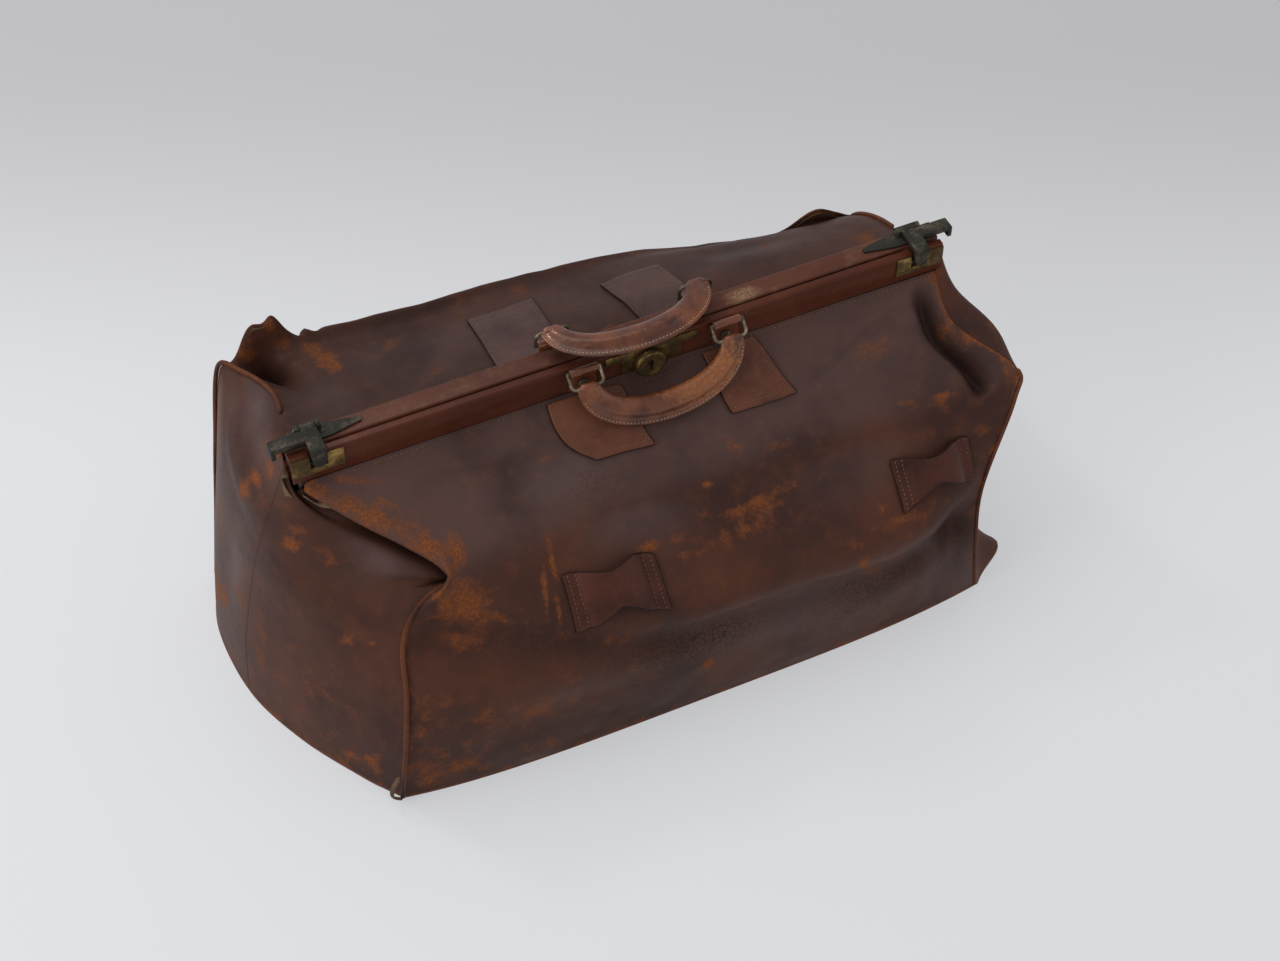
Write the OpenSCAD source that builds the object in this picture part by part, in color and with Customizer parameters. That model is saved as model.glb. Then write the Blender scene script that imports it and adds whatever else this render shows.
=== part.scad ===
// Doctor's bag: a leather travelling bag on a steel jaw frame, millimetres, +Z up.
// The floor is z = 0, the mouth runs along X and the front faces -Y.

/* [Frame] */
// Length of the jaws along the mouth
frame_len = 580; // [540:5:620]
// Height of the jaw tops above the floor
jaw_top = 310; // [300:1:320]
// Height of the front jaw's face
jaw_face_h = 28; // [26:1:31]
// Thickness of the leather-covered front jaw
jaw_t = 8; // [7.5:0.5:9]
// Depth of the back jaw's flat top
flange_d = 18.5; // [17:0.5:20]
// Gap between the closed jaws
jaw_gap = 2; // [1:0.25:3]
// Thickness of the steel in the jaws and arms
steel_t = 3; // [2.5:0.25:3.5]
// Thickness of the leather on the jaws
skin_t = 2.4; // [2:0.1:2.5]
// Height of the jaw hinge above the floor
hinge_z = 195; // [190:1:200]
// Radius of the hinge pins
hinge_pin_r = 3; // [2.5:0.25:3.5]
// Width of the hinge arms
arm_w = 13; // [11:0.5:15]

/* [Leather body] */
// Distance of the front wall's foot from the mouth's middle
foot_front = 150; // [140:1:160]
// Distance of the back wall's foot from the mouth's middle
foot_back = 167; // [158:1:176]
// How far the end walls bow out past the frame
end_bow = 60; // [45:1:70]
// Thickness of the wall leather
leather_t = 3.5; // [3:0.25:4]
// Thickness of the base leather
base_t = 4; // [3:0.5:5]
// Thickness of the stiffening board in the base
board_t = 4; // [3:0.5:6]
// Radius at which the front leather folds, measured from the hinge
fold_front_r = 106; // [104:1:110]
// Radius at which the back leather folds, measured from the hinge
fold_back_r = 150; // [146:1:152]
// Depth of the fold inside the right front shoulder
valley_d = 16; // [8:1:20]
// Height of the crumpled back left corner
peak_left_h = 26; // [15:1:32]
// Height of the crumpled back right corner
peak_right_h = 14; // [8:1:20]
// Radius of the piping in the corner seams
piping_r = 2.2; // [1.8:0.1:2.4]

/* [Straps and patches] */
// Thickness of sewn-on patches and keepers
patch_t = 2.2; // [1.8:0.1:2.8]
// Width of a front handle patch
front_patch_w = 66; // [56:1:74]
// Width of a back handle patch
back_patch_w = 58; // [48:1:70]
// Width of a strap keeper
keeper_w = 72; // [60:1:80]
// Clear height under a strap keeper's bridge
keeper_lift = 8; // [6:0.5:10]
// Middle of the left strap keeper, from the frame's left end
keeper_left_inset = 224; // [200:1:240]
// Middle of the right strap keeper, from the frame's right end
keeper_right_inset = 58; // [52:1:70]

/* [Handles] */
// Middle of the front handle, along the bag
front_handle_x = 22; // [15:1:28]
// Middle of the back handle, along the bag
back_handle_x = 10; // [4:1:16]
// Distance between a handle's two rings
handle_span = 128; // [120:1:136]
// Reach of a handle's middle line from its ring bars
handle_drop = 36; // [32:1:40]
// Thickness of a handle's grip
grip_t = 14; // [12:0.5:15]
// Width of a handle's grip
grip_w = 22; // [20:0.5:24]
// Angle of the front rings below the horizontal
front_ring_deg = 42; // [38:1:44]
// Angle of the front handle below the horizontal
front_rest_deg = 58; // [54:1:59]
// Angle of the back rings above the horizontal
back_ring_deg = 84; // [78:1:86]
// Angle of the back handle above the horizontal
back_rest_deg = 0; // [-3:1:6]
// Radius of the ring wire
ring_wire_r = 1.5; // [1.3:0.1:1.7]
// Inner length of a ring, along its swing
ring_len = 14; // [13:0.5:16]
// Width of a ring between its side bars' middles
ring_w = 28; // [26:0.5:30]
// Radius of a ring's lower corners
ring_corner = 4; // [3:0.5:5]

/* [Catches] */
// Distance of each claw from the frame's end
claw_inset = 23; // [20:1:28]
// Width of a claw's arm
claw_w = 13; // [11:0.5:15]
// Thickness of a claw's metal
claw_t = 3.6; // [3:0.2:4]
// Length of a claw's hook below the jaw tops
claw_hook = 11; // [8:0.5:14]
// Reach of a claw's thumb bar past the frame's end
thumb_over = 12; // [8:1:15]
// Depth of a claw's thumb bar, front to back
thumb_d = 11; // [9:0.5:12]
// Height of a claw's thumb bar above its arm
thumb_raise = 1.4; // [0.8:0.2:2]
// Drop of the thumb bar's outer end
thumb_drop = 7; // [4:0.5:8]
// Length of a catch's base plate
catch_len = 66; // [58:1:72]
// Thickness of the catch plates
catch_t = 2; // [1.6:0.2:2.4]
// Radius of a claw's pin
claw_pin_r = 1.5; // [1.2:0.1:1.8]
// Length of a brass end plate on the front jaw
end_plate_len = 44; // [36:1:50]
// Height of a brass end plate
end_plate_h = 19; // [16:0.5:21]

/* [Lock] */
// Middle of the lock, along the bag
lock_x = 20; // [15:1:25]
// Radius of the lock's boss
boss_r = 13.5; // [12:0.5:14.5]
// How far the boss stands out
boss_d = 6.5; // [5:0.5:8]
// Length of the lock plate
lock_plate_len = 82; // [74:1:90]
// Thickness of the lock plate
lock_plate_t = 1.1; // [0.9:0.1:1.3]
// Travel of the sliding boss
lock_travel = 6; // [4:0.5:7]

/* [Hidden] */
$fn = 48;
clearance = 0.4;
fit = 0.1;
running_fit = 0.05;
half_len = frame_len / 2;
jaw_low = jaw_top - jaw_face_h;
front_face_y = -(jaw_gap / 2 + jaw_t);
back_face_y = jaw_gap / 2;
flange_back_y = back_face_y + flange_d;
steel_top = jaw_top - skin_t - fit;
front_steel_y = -(jaw_gap / 2 + (jaw_t + steel_t) / 2);
back_steel_y = back_face_y + skin_t + fit;
steel_low = jaw_low + 2;
seam_drop = 0.8;
yoke_top = jaw_low - seam_drop;
lip_low = jaw_low + 5;
front_arm_x = half_len - steel_t - 5;
back_arm_x = front_arm_x - steel_t - 3 * fit;

// Colours
leather_brown = [0.30, 0.17, 0.11];
leather_red = [0.36, 0.17, 0.10];
leather_dark = [0.22, 0.13, 0.10];
brass_colour = [0.62, 0.48, 0.24];
steel_colour = [0.45, 0.45, 0.46];
board_colour = [0.55, 0.45, 0.32];

// Curves and surfaces

function unit(v) = v / max(norm(v), 1e-9);
function mix(a, b, t) = a + (b - a) * t;
function hump(x, middle, width) = exp(-pow((x - middle) / width, 2));

// Smooth curve through the points p, with v from 0 to 1
function curve_step(a, b, c, d, t) =
    0.5 * (2 * b + (c - a) * t + (2 * a - 5 * b + 4 * c - d) * t * t + (3 * b - a - 3 * c + d) * t * t * t);
function curve(p, v) =
    let (n = len(p) - 1, k = min(n - 1, floor(v * n)))
    curve_step(p[max(k - 1, 0)], p[k], p[k + 1], p[min(k + 2, n)], v * n - k);

// A row of a wall: its left end, middle and right end, met smoothly
function end_share(u) = pow(abs(2 * u - 1), 4);
function row(left, middle, right, u) =
    let (end = u < 0.5 ? left : right, e = end_share(u))
    [mix(left.x, right.x, u), mix(middle.y, end.y, e), mix(middle.z, end.z, e)];

// A row on a cylinder about the hinge, given by angles from upright
function fold_row(left_x, right_x, angles, r, side, u) =
    let (e = end_share(u), a = mix(angles[1], u < 0.5 ? angles[0] : angles[2], e))
    [mix(left_x, right_x, u), side * r * sin(a), hinge_z + r * cos(a)];

// Corner seams of the walls, from the floor up to the fold
front_left_seam = [
    [-half_len + 22, -foot_front + 12, 0],
    [-half_len + 30, -foot_front + 14, 0.32 * hinge_z],
    [-half_len + 40, -foot_front + 26, 0.62 * hinge_z]];
front_right_seam = [
    [half_len - 8, -foot_front + 11, 0],
    [half_len - 6, -foot_front + 8, 0.32 * hinge_z],
    [half_len, -foot_front + 18, 0.66 * hinge_z]];
back_left_seam = [
    [-half_len - 40, foot_back - 14, 0],
    [-half_len - 42, foot_back - 5, 0.4 * hinge_z],
    [-half_len - 34, foot_back - 8, 0.87 * hinge_z],
    [-half_len - 10, foot_back - 14, hinge_z + 62]];
back_right_seam = [
    [half_len + 36, foot_back - 14, 0],
    [half_len + 40, foot_back - 6, 0.4 * hinge_z],
    [half_len + 30, foot_back - 10, 0.82 * hinge_z],
    [half_len + 4, foot_back - 18, hinge_z + 42]];

// Middles of the walls' rows
front_middle = [[0, -foot_front, 0], [0, -foot_front - 8, 0.32 * hinge_z],
    [0, -foot_front - 2, 0.67 * hinge_z]];
back_middle = [[0, foot_back, 0], [0, foot_back + 10, 0.4 * hinge_z],
    [0, foot_back + 7, 0.87 * hinge_z], [0, foot_back - 9, hinge_z + 52]];

front_fold_angles = [106, 95.5, 87];
front_fold_x = [-half_len + 49, half_len + 26];
back_fold_angles = [61, 66, 72];
back_fold_x = [-half_len - 2, half_len - 6];

// Ends of the leather that hangs from the jaws, between the fold and the jaw
front_left_lip = [[-half_len + 88, -0.83 * fold_front_r, hinge_z + 14],
    [-half_len + 66, -0.434 * fold_front_r, hinge_z + 40],
    [-half_len + 14, front_face_y + 1, yoke_top - 1]];
front_right_lip = [[half_len + 36, -0.868 * fold_front_r, hinge_z + 28],
    [half_len + 26, -0.453 * fold_front_r, hinge_z + 60],
    [half_len - 14, front_face_y + 1, yoke_top - 1]];
back_left_lip = [[-half_len + 2, 0.56 * fold_back_r, hinge_z + 80],
    [-half_len + 6, flange_back_y - 1, lip_low - 2]];
back_right_lip = [[half_len - 4, 0.573 * fold_back_r, hinge_z + 66],
    [half_len - 6, flange_back_y - 1, lip_low - 2]];

front_fold_middle = fold_row(0, 0, front_fold_angles, fold_front_r, -1, 0.5);
front_jaw_middle = [0, front_face_y + 1, yoke_top];
back_fold_middle = fold_row(0, 0, back_fold_angles, fold_back_r, 1, 0.5);
back_jaw_middle = [0, flange_back_y - 1, lip_low - seam_drop];
roof_crown = [0, -4, 5];

// The leather is pressed in round the lock, and folded inside the right shoulder
dent_w = lock_plate_len * 0.34;
dent_d = 13;
function lock_dent(x, v) = -dent_d * hump(x, lock_x, dent_w) * pow(v, 3);
function valley(u, v) = -valley_d * hump(u, 0.9 - 0.03 * v, 0.035) * sin(180 * min(1, 0.15 + 0.85 * v));

// Front wall below the fold: u runs left to right, v runs up
front_wall = function(u, v) curve([
    for (k = [0:2]) row(front_left_seam[k], front_middle[k], front_right_seam[k], u),
    fold_row(front_fold_x[0], front_fold_x[1], front_fold_angles, fold_front_r + clearance / 2, -1, u)], v);

// Front leather above the fold, which swings with the jaw
front_roof = function(u, v)
    let (p = curve([
        fold_row(front_fold_x[0], front_fold_x[1], front_fold_angles, fold_front_r - clearance / 2, -1, u),
        row(front_left_lip[0], mix(front_fold_middle, front_jaw_middle, 0.33) + roof_crown,
            front_right_lip[0], u),
        row(front_left_lip[1], mix(front_fold_middle, front_jaw_middle, 0.67) + roof_crown,
            front_right_lip[1], u),
        row(front_left_lip[2], front_jaw_middle, front_right_lip[2], u)], v))
    p + [0, 0, lock_dent(p.x, v) + valley(u, v)];

// Crumpled corners that stand up at the back
function peaks(u) = peak_left_h * hump(u, 0.055, 0.05) + peak_right_h * hump(u, 0.9, 0.06);

back_wall = function(u, v) curve([
    for (k = [0:3]) row(back_left_seam[k], back_middle[k], back_right_seam[k], u)
        + (k == 3 ? [0, 4, peaks(u)] : [0, 0, 0]),
    fold_row(back_fold_x[0], back_fold_x[1], back_fold_angles, fold_back_r + clearance / 2, 1, u)], v);

back_roof = function(u, v) curve([
    fold_row(back_fold_x[0], back_fold_x[1], back_fold_angles, fold_back_r - clearance / 2, 1, u),
    row(back_left_lip[0], mix(back_fold_middle, back_jaw_middle, 0.5) + [0, 2, 3], back_right_lip[0], u),
    row(back_left_lip[1], back_jaw_middle, back_right_lip[1], u)], v);

// End walls: s runs front to back, t runs up; their edges stay inside the neighbouring walls
seam_in = leather_t + 1.6;
gusset_top = jaw_low - 10;
function gusset_front_edge(seam, fold, lips, side) = [
    for (p = seam) p + [0, seam_in, 0],
    fold + [0, seam_in, -seam_in / 2],
    lips[0] + [-side * 4, seam_in, -seam_in * 1.7],
    lips[1] + [0, seam_in, -seam_in * 1.9],
    [side * (half_len + 8), -20, gusset_top - 16]];
function gusset_back_edge(seam, fold, lips, side) = [
    for (k = [0:2]) seam[k] - [0, seam_in, 0],
    seam[3] + [side * 2, -seam_in * 2, -seam_in * 2],
    fold + [side * 4, -seam_in, -seam_in * 2],
    lips[0] + [side * 6, 0, -seam_in * 2.2],
    [side * (half_len + 8), 26, gusset_top]];
function gusset_middle(side, bow) = [
    [side * (half_len + bow - 2), 20, 0],
    [side * (half_len + bow + 4), 26, 0.33 * hinge_z],
    [side * (half_len + bow - 8), 22, 0.7 * hinge_z],
    [side * (half_len + bow * 0.66), 14, 0.95 * hinge_z],
    [side * (half_len + bow * 0.42), 8, 1.16 * hinge_z],
    [side * (half_len + 16), 4, gusset_top - 18],
    [side * (half_len + 8), 2, gusset_top]];
function end_wall(front, middle, back, s, t) =
    curve(front, t) * (2 * s * s - 3 * s + 1) + curve(middle, t) * (4 * s - 4 * s * s)
    + curve(back, t) * (2 * s * s - s);

left_front_edge = gusset_front_edge(front_left_seam, front_wall(0, 1), front_left_lip, -1);
left_back_edge = gusset_back_edge(back_left_seam, back_wall(0, 1), back_left_lip, -1);
left_middle = gusset_middle(-1, end_bow);
right_front_edge = gusset_front_edge(front_right_seam, front_wall(1, 1), front_right_lip, 1);
right_back_edge = gusset_back_edge(back_right_seam, back_wall(1, 1), back_right_lip, 1);
right_middle = gusset_middle(1, end_bow - 10);
left_wall = function(s, t) end_wall(left_front_edge, left_middle, left_back_edge, s, t);
right_wall = function(s, t) end_wall(right_front_edge, right_middle, right_back_edge, s, t);

// Solids from surfaces

function normal_at(f, u, v, side) =
    let (h = 0.01,
        du = f(min(u + h, 1), v) - f(max(u - h, 0), v),
        dv = f(u, min(v + h, 1)) - f(u, max(v - h, 0)))
    side * unit(cross(du, dv));
function lifted(f, u, v, side, d) = f(u, v) + normal_at(f, u, v, side) * d;

// The wall's inner edge at the fold, cut along the circle about the hinge
function fold_cut(f, u, v, side, t) =
    let (p = f(u, v), r = [0, p.y, p.z - hinge_z],
        down = unit(cross([p.y < 0 ? 1 : -1, 0, 0], r)),
        slope = max(0.35, abs(down * normal_at(f, u, v, side))))
    p + down * t / slope;

// Closed solid between two grids of points with the same layout
module slab(outer, inner, turned) {
    rows = len(outer);
    cols = len(outer[0]);
    count = rows * cols;
    quads = [
        for (j = [0:rows - 2], i = [0:cols - 2])
            let (a = j * cols + i) [a, a + cols, a + cols + 1, a + 1],
        for (j = [0:rows - 2], i = [0:cols - 2])
            let (a = count + j * cols + i) [a, a + 1, a + cols + 1, a + cols],
        for (i = [0:cols - 2]) [i, i + 1, count + i + 1, count + i],
        for (i = [0:cols - 2])
            let (a = (rows - 1) * cols + i) [a + 1, a, count + a, count + a + 1],
        for (j = [0:rows - 2])
            let (a = j * cols) [a + cols, a, count + a, count + a + cols],
        for (j = [0:rows - 2])
            let (a = j * cols + cols - 1) [a, a + cols, count + a + cols, count + a]];
    triangles = [for (q = quads) each [[q[0], q[1], q[2]], [q[0], q[2], q[3]]]];
    polyhedron(
        points = [for (g = [outer, inner]) for (r = g) each r],
        faces = turned ? [for (t = triangles) [t[0], t[2], t[1]]] : triangles,
        convexity = 8);
}

// Columns stand closer towards the ends of a wall
function eased(i, n) = mix(i / n, 0.5 - 0.5 * cos(180 * i / n), 0.6);

// Leather wall of even thickness; fold_v is the edge that is cut at the fold, or -1
module wall_leather(f, side, cols, rows, fold_v) {
    outer = [for (j = [0:rows]) [for (i = [0:cols]) f(eased(i, cols), j / rows)]];
    inner = [for (j = [0:rows]) [for (i = [0:cols])
        j / rows == fold_v ? fold_cut(f, eased(i, cols), j / rows, side, leather_t)
            : lifted(f, eased(i, cols), j / rows, side, -leather_t)]];
    level = [for (r = inner) [for (p = r) [p.x, p.y, max(p.z, 0)]]];
    flat_foot = [for (j = [0:rows]) [for (p = level[j]) j == 0 && fold_v != 0 ? [p.x, p.y, 0] : p]];
    slab(outer, flat_foot, side < 0);
}

// Share of a surface's width at which it reaches x, on row v
function share_at(f, x, v) = (x - f(0, v).x) / (f(1, v).x - f(0, v).x);

// Patch of width w about x, sewn on a surface over the rows v
module sewn_patch(f, side, x, w, v, cols, rows) {
    grid = function(d) [for (j = [0:rows]) [for (i = [0:cols])
        let (row_v = mix(v[0], v[1], j / rows))
        lifted(f, share_at(f, x + w * (i / cols - 0.5), row_v), row_v, side, d)]];
    slab(grid(clearance + patch_t), grid(clearance), side < 0);
}

// Strap keeper: sewn at both ends, narrower in the middle, with a bridge over the strap
module strap_keeper(f, side, x, v) {
    cols = 12;
    rows = 4;
    middle_v = (v[0] + v[1]) / 2;
    bridge = function(p) keeper_lift * pow(sin(180 * min(1, max(0, (p - 0.14) / 0.72))), 0.6);
    waist = function(p) 1 - 0.28 * pow(sin(180 * p), 2);
    grid = function(d) [for (j = [0:rows]) [for (i = [0:cols])
        let (p = i / cols, row_v = middle_v + (mix(v[0], v[1], j / rows) - middle_v) * waist(p))
        lifted(f, share_at(f, x + keeper_w * (p - 0.5), row_v), row_v, side, d + bridge(p))]];
    slab(grid(clearance + patch_t), grid(clearance), side < 0);
}

// Round tube of radius r along the points
module piping(points, r) {
    sides = 8;
    n = len(points);
    rings = [for (k = [0:n - 1])
        let (way = unit(points[min(k + 1, n - 1)] - points[max(k - 1, 0)]),
            a = unit(cross(way, [0.3, 1, 0])), b = cross(way, a))
        [for (s = [0:sides - 1]) points[k] + r * (a * cos(360 * s / sides) + b * sin(360 * s / sides))]];
    faces = [
        for (k = [0:n - 2], s = [0:sides - 1])
            let (a = k * sides + s, b = k * sides + (s + 1) % sides)
            each [[a, b, b + sides], [a, b + sides, a + sides]],
        [for (s = [sides - 1:-1:0]) s],
        [for (s = [0:sides - 1]) (n - 1) * sides + s]];
    polyhedron(points = [for (g = rings) each g],
        faces = [for (f = faces) [for (k = [len(f) - 1:-1:0]) f[k]]], convexity = 6);
}

// Piping in the notch between a wall's end u and its gusset, up to a share of the wall's rows
module corner_piping(f, u, side, rows, reach) {
    nest = piping_r + 2 * clearance;
    inward = u == 0 ? 0.02 : 0.98;
    piping([for (k = [0:floor(rows * reach)])
        let (v = max(0.012, k / rows), p = f(u, v))
        p + unit(p - f(inward, v)) * nest - normal_at(f, u, v, side) * seam_in * 0.3], piping_r);
}

// Base

function foot(f, side, inset, order) =
    [for (k = order) let (p = lifted(f, mix(0.02, 0.98, k / 12), 0, side, -inset)) [p.x, p.y]];
function base_edge(inset) = concat(
    foot(front_wall, 1, inset, [0:12]), foot(right_wall, 1, inset, [0:12]),
    foot(back_wall, -1, inset, [12:-1:0]), foot(left_wall, -1, inset, [12:-1:0]));
base_inset = leather_t + 2 * clearance;

module base_panel() {
    color(leather_dark) linear_extrude(base_t) polygon(base_edge(base_inset));
}
module base_board() {
    color(board_colour) translate([0, 0, base_t]) linear_extrude(board_t)
        polygon(base_edge(base_inset + 3));
}

// Walls

panel_cols = 26;
front_rows = 10;
back_rows = 12;
gusset_cols = 11;
gusset_rows = 15;
module front_panel() { color(leather_brown) wall_leather(front_wall, 1, panel_cols, front_rows, 1); }
module back_panel() { color(leather_brown) wall_leather(back_wall, -1, panel_cols, back_rows, 1); }
module front_yoke() { color(leather_brown) wall_leather(front_roof, 1, 30, 8, 0); }
module back_yoke() { color(leather_brown) wall_leather(back_roof, -1, 24, 6, 0); }
module left_gusset() { color(leather_brown) wall_leather(left_wall, -1, gusset_cols, gusset_rows, -1); }
module right_gusset() { color(leather_brown) wall_leather(right_wall, 1, gusset_cols, gusset_rows, -1); }

module front_left_piping() { color(leather_dark) corner_piping(front_wall, 0, 1, front_rows, 0.8); }
module front_right_piping() { color(leather_dark) corner_piping(front_wall, 1, 1, front_rows, 0.8); }
module back_left_piping() { color(leather_dark) corner_piping(back_wall, 0, -1, back_rows, 0.7); }
module back_right_piping() { color(leather_dark) corner_piping(back_wall, 1, -1, back_rows, 0.7); }

// Strap keepers and patches

keeper_left_x = keeper_left_inset - half_len;
keeper_right_x = half_len - keeper_right_inset;
front_keeper_v = [0.70, 0.96];
back_keeper_v = [0.36, 0.56];
module front_left_keeper() {
    color(leather_dark) strap_keeper(front_wall, 1, keeper_left_x, front_keeper_v);
}
module front_right_keeper() {
    color(leather_dark) strap_keeper(front_wall, 1, keeper_right_x, front_keeper_v);
}
module back_left_keeper() {
    color(leather_dark) strap_keeper(back_wall, -1, keeper_left_x, back_keeper_v);
}
module back_right_keeper() {
    color(leather_dark) strap_keeper(back_wall, -1, keeper_right_x, back_keeper_v);
}

front_patch_v = [0.42, 0.9];
back_patch_v = [0.3, 0.92];
module front_patch(x) {
    color(leather_dark) sewn_patch(front_roof, 1, x, front_patch_w, front_patch_v, 8, 6);
}
module back_patch(x) {
    color(leather_dark) sewn_patch(back_roof, -1, x, back_patch_w, back_patch_v, 6, 6);
}
front_patch_shift = [8, 11];
back_patch_shift = [-9, -15];
module front_left_patch() { front_patch(front_handle_x - handle_span / 2 + front_patch_shift[0]); }
module front_right_patch() { front_patch(front_handle_x + handle_span / 2 + front_patch_shift[1]); }
module back_left_patch() { back_patch(back_handle_x - handle_span / 2 + back_patch_shift[0]); }
module back_right_patch() { back_patch(back_handle_x + handle_span / 2 + back_patch_shift[1]); }

// Jaw frame

// Profile in the YZ plane, run along X from a to b
module along_x(a, b) {
    translate([a, 0, 0]) rotate([90, 0, 90]) linear_extrude(b - a) children();
}
module along_y(a, b) {
    translate([0, b, 0]) rotate([90, 0, 0]) linear_extrude(b - a) children();
}
module block(low, high) { translate(low) cube(high - low); }

cover_half = half_len;
front_bar_half = front_arm_x - fit;
back_bar_half = back_arm_x - fit;
edge_r = 2;
claw_x = half_len - claw_inset;
notch_half = claw_w / 2 + 2 * clearance;
hook_low = jaw_top - claw_hook;
notch_low = hook_low - 4;

// Space that the lock takes out of the front jaw
case_half = 17;
case_low = jaw_low + 4.5;
case_high = steel_top - 2.5;
module lock_window(room) {
    block([lock_x - case_half - room, front_face_y - 1, case_low - room],
        [lock_x + case_half + room, 0, case_high + room]);
}
// Open-topped slots in the front jaw behind the claws' hooks
module claw_slots() {
    for (s = [-1, 1])
        block([s * claw_x - notch_half, front_face_y - 5, notch_low],
            [s * claw_x + notch_half, 0, jaw_top + 1]);
}

module front_jaw_bar() {
    color(steel_colour) difference() {
        block([-front_bar_half, front_steel_y, steel_low], [front_bar_half, front_steel_y + steel_t, steel_top]);
        lock_window(fit);
        claw_slots();
    }
}
// Leather channel folded over the bar, with rounded upper edges
module front_jaw_cover() {
    in_front = front_steel_y - fit;
    in_back = front_steel_y + steel_t + fit;
    top_y = [front_face_y + edge_r, -jaw_gap / 2 - edge_r];
    color(leather_red) difference() {
        along_x(-cover_half, cover_half) polygon([
            [front_face_y, jaw_low],
            for (a = [180:-15:90]) [top_y[0] + edge_r * cos(a), jaw_top - edge_r + edge_r * sin(a)],
            for (a = [90:-15:0]) [top_y[1] + edge_r * cos(a), jaw_top - edge_r + edge_r * sin(a)],
            [-jaw_gap / 2, jaw_low], [in_back, jaw_low], [in_back, steel_top + fit],
            [in_front, steel_top + fit], [in_front, jaw_low]]);
        lock_window(fit);
        claw_slots();
    }
}
module back_jaw_bar() {
    color(steel_colour) along_x(-back_bar_half, back_bar_half) polygon([
        [back_steel_y, steel_low], [back_steel_y, steel_top],
        [flange_back_y - skin_t - fit, steel_top], [flange_back_y - skin_t - fit, steel_top - steel_t],
        [back_steel_y + steel_t, steel_top - steel_t], [back_steel_y + steel_t, steel_low]]);
}
module back_jaw_cover() {
    inner_top = steel_top + fit;
    color(leather_red) along_x(-cover_half, cover_half) polygon([
        [back_face_y, jaw_low],
        for (a = [180:-15:90])
            [back_face_y + edge_r + edge_r * cos(a), jaw_top - edge_r + edge_r * sin(a)],
        for (a = [90:-15:0])
            [flange_back_y - edge_r + edge_r * cos(a), jaw_top - edge_r + edge_r * sin(a)],
        [flange_back_y, lip_low], [flange_back_y - skin_t, lip_low], [flange_back_y - skin_t, inner_top],
        [back_face_y + skin_t, inner_top], [back_face_y + skin_t, jaw_low]]);
}

// Steel arm from a jaw's end down to its eye on the hinge, with a tongue up into the jaw's cover
eye_r = hinge_pin_r + 5;
shoulder_z = jaw_low - 2;
module hinge_arm(x, tongue_y, turned) {
    neck = eye_r * 0.66;
    waist_z = hinge_z + eye_r + 30;
    color(steel_colour) mirror([0, turned ? 1 : 0, 0]) difference() {
        along_x(x, x + steel_t) union() {
            polygon([[tongue_y, steel_top], [tongue_y - steel_t, steel_top], [tongue_y - steel_t, shoulder_z],
                [tongue_y - arm_w, shoulder_z], [tongue_y - arm_w, waist_z], [-neck, hinge_z + neck],
                [neck, hinge_z + neck], [tongue_y, waist_z]]);
            translate([0, hinge_z]) circle(eye_r);
        }
        translate([x - 1, 0, hinge_z]) rotate([0, 90, 0]) cylinder(r = hinge_pin_r + running_fit, h = steel_t + 2);
    }
}
module front_left_arm() { hinge_arm(-front_arm_x - steel_t, -front_steel_y, true); }
module front_right_arm() { hinge_arm(front_arm_x, -front_steel_y, true); }
module back_left_arm() { hinge_arm(-back_arm_x - steel_t, back_steel_y + steel_t, false); }
module back_right_arm() { hinge_arm(back_arm_x, back_steel_y + steel_t, false); }

// Headed pin through both eyes
pin_head_r = hinge_pin_r + 2.5;
pin_head_t = 1.8;
module hinge_pin(side) {
    outer = front_arm_x + steel_t + fit;
    inner = back_arm_x - 1.5;
    color(steel_colour) rotate([0, side * 90, 0]) translate([side * -hinge_z, 0, 0]) {
        translate([0, 0, inner]) cylinder(r = hinge_pin_r, h = outer - inner);
        translate([0, 0, outer]) cylinder(r = pin_head_r, h = pin_head_t);
    }
}
module left_hinge_pin() { hinge_pin(-1); }
module right_hinge_pin() { hinge_pin(1); }

// Brass plates on the front jaw's ends
plate_gap = fit;
module end_plate(side) {
    top = jaw_top - edge_r;
    low = top - end_plate_h;
    back = front_face_y - plate_gap;
    color(brass_colour) difference() {
        block([min(side * cover_half, side * (cover_half - end_plate_len)), back - lock_plate_t, low],
            [max(side * cover_half, side * (cover_half - end_plate_len)), back, top]);
        claw_slots();
    }
}
module left_end_plate() { end_plate(-1); }
module right_end_plate() { end_plate(1); }

// Lock

boss_z = jaw_low + 9;
stem_r = 3;
stem_z = boss_z + 3;
plate_back = front_face_y - plate_gap;
plate_front = plate_back - lock_plate_t;
case_wall = 1;
bolt_t = 2;
bolt_y = front_face_y + case_wall + 1;

// Long slot for the boss's stem, with round ends
module stem_slot(front, back) {
    for (s = [-1, 1])
        translate([lock_x + s * lock_travel / 2, back, stem_z]) rotate([90, 0, 0])
            cylinder(r = stem_r + clearance, h = back - front);
    block([lock_x - lock_travel / 2, front, stem_z - stem_r - clearance],
        [lock_x + lock_travel / 2, back, stem_z + stem_r + clearance]);
}
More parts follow.
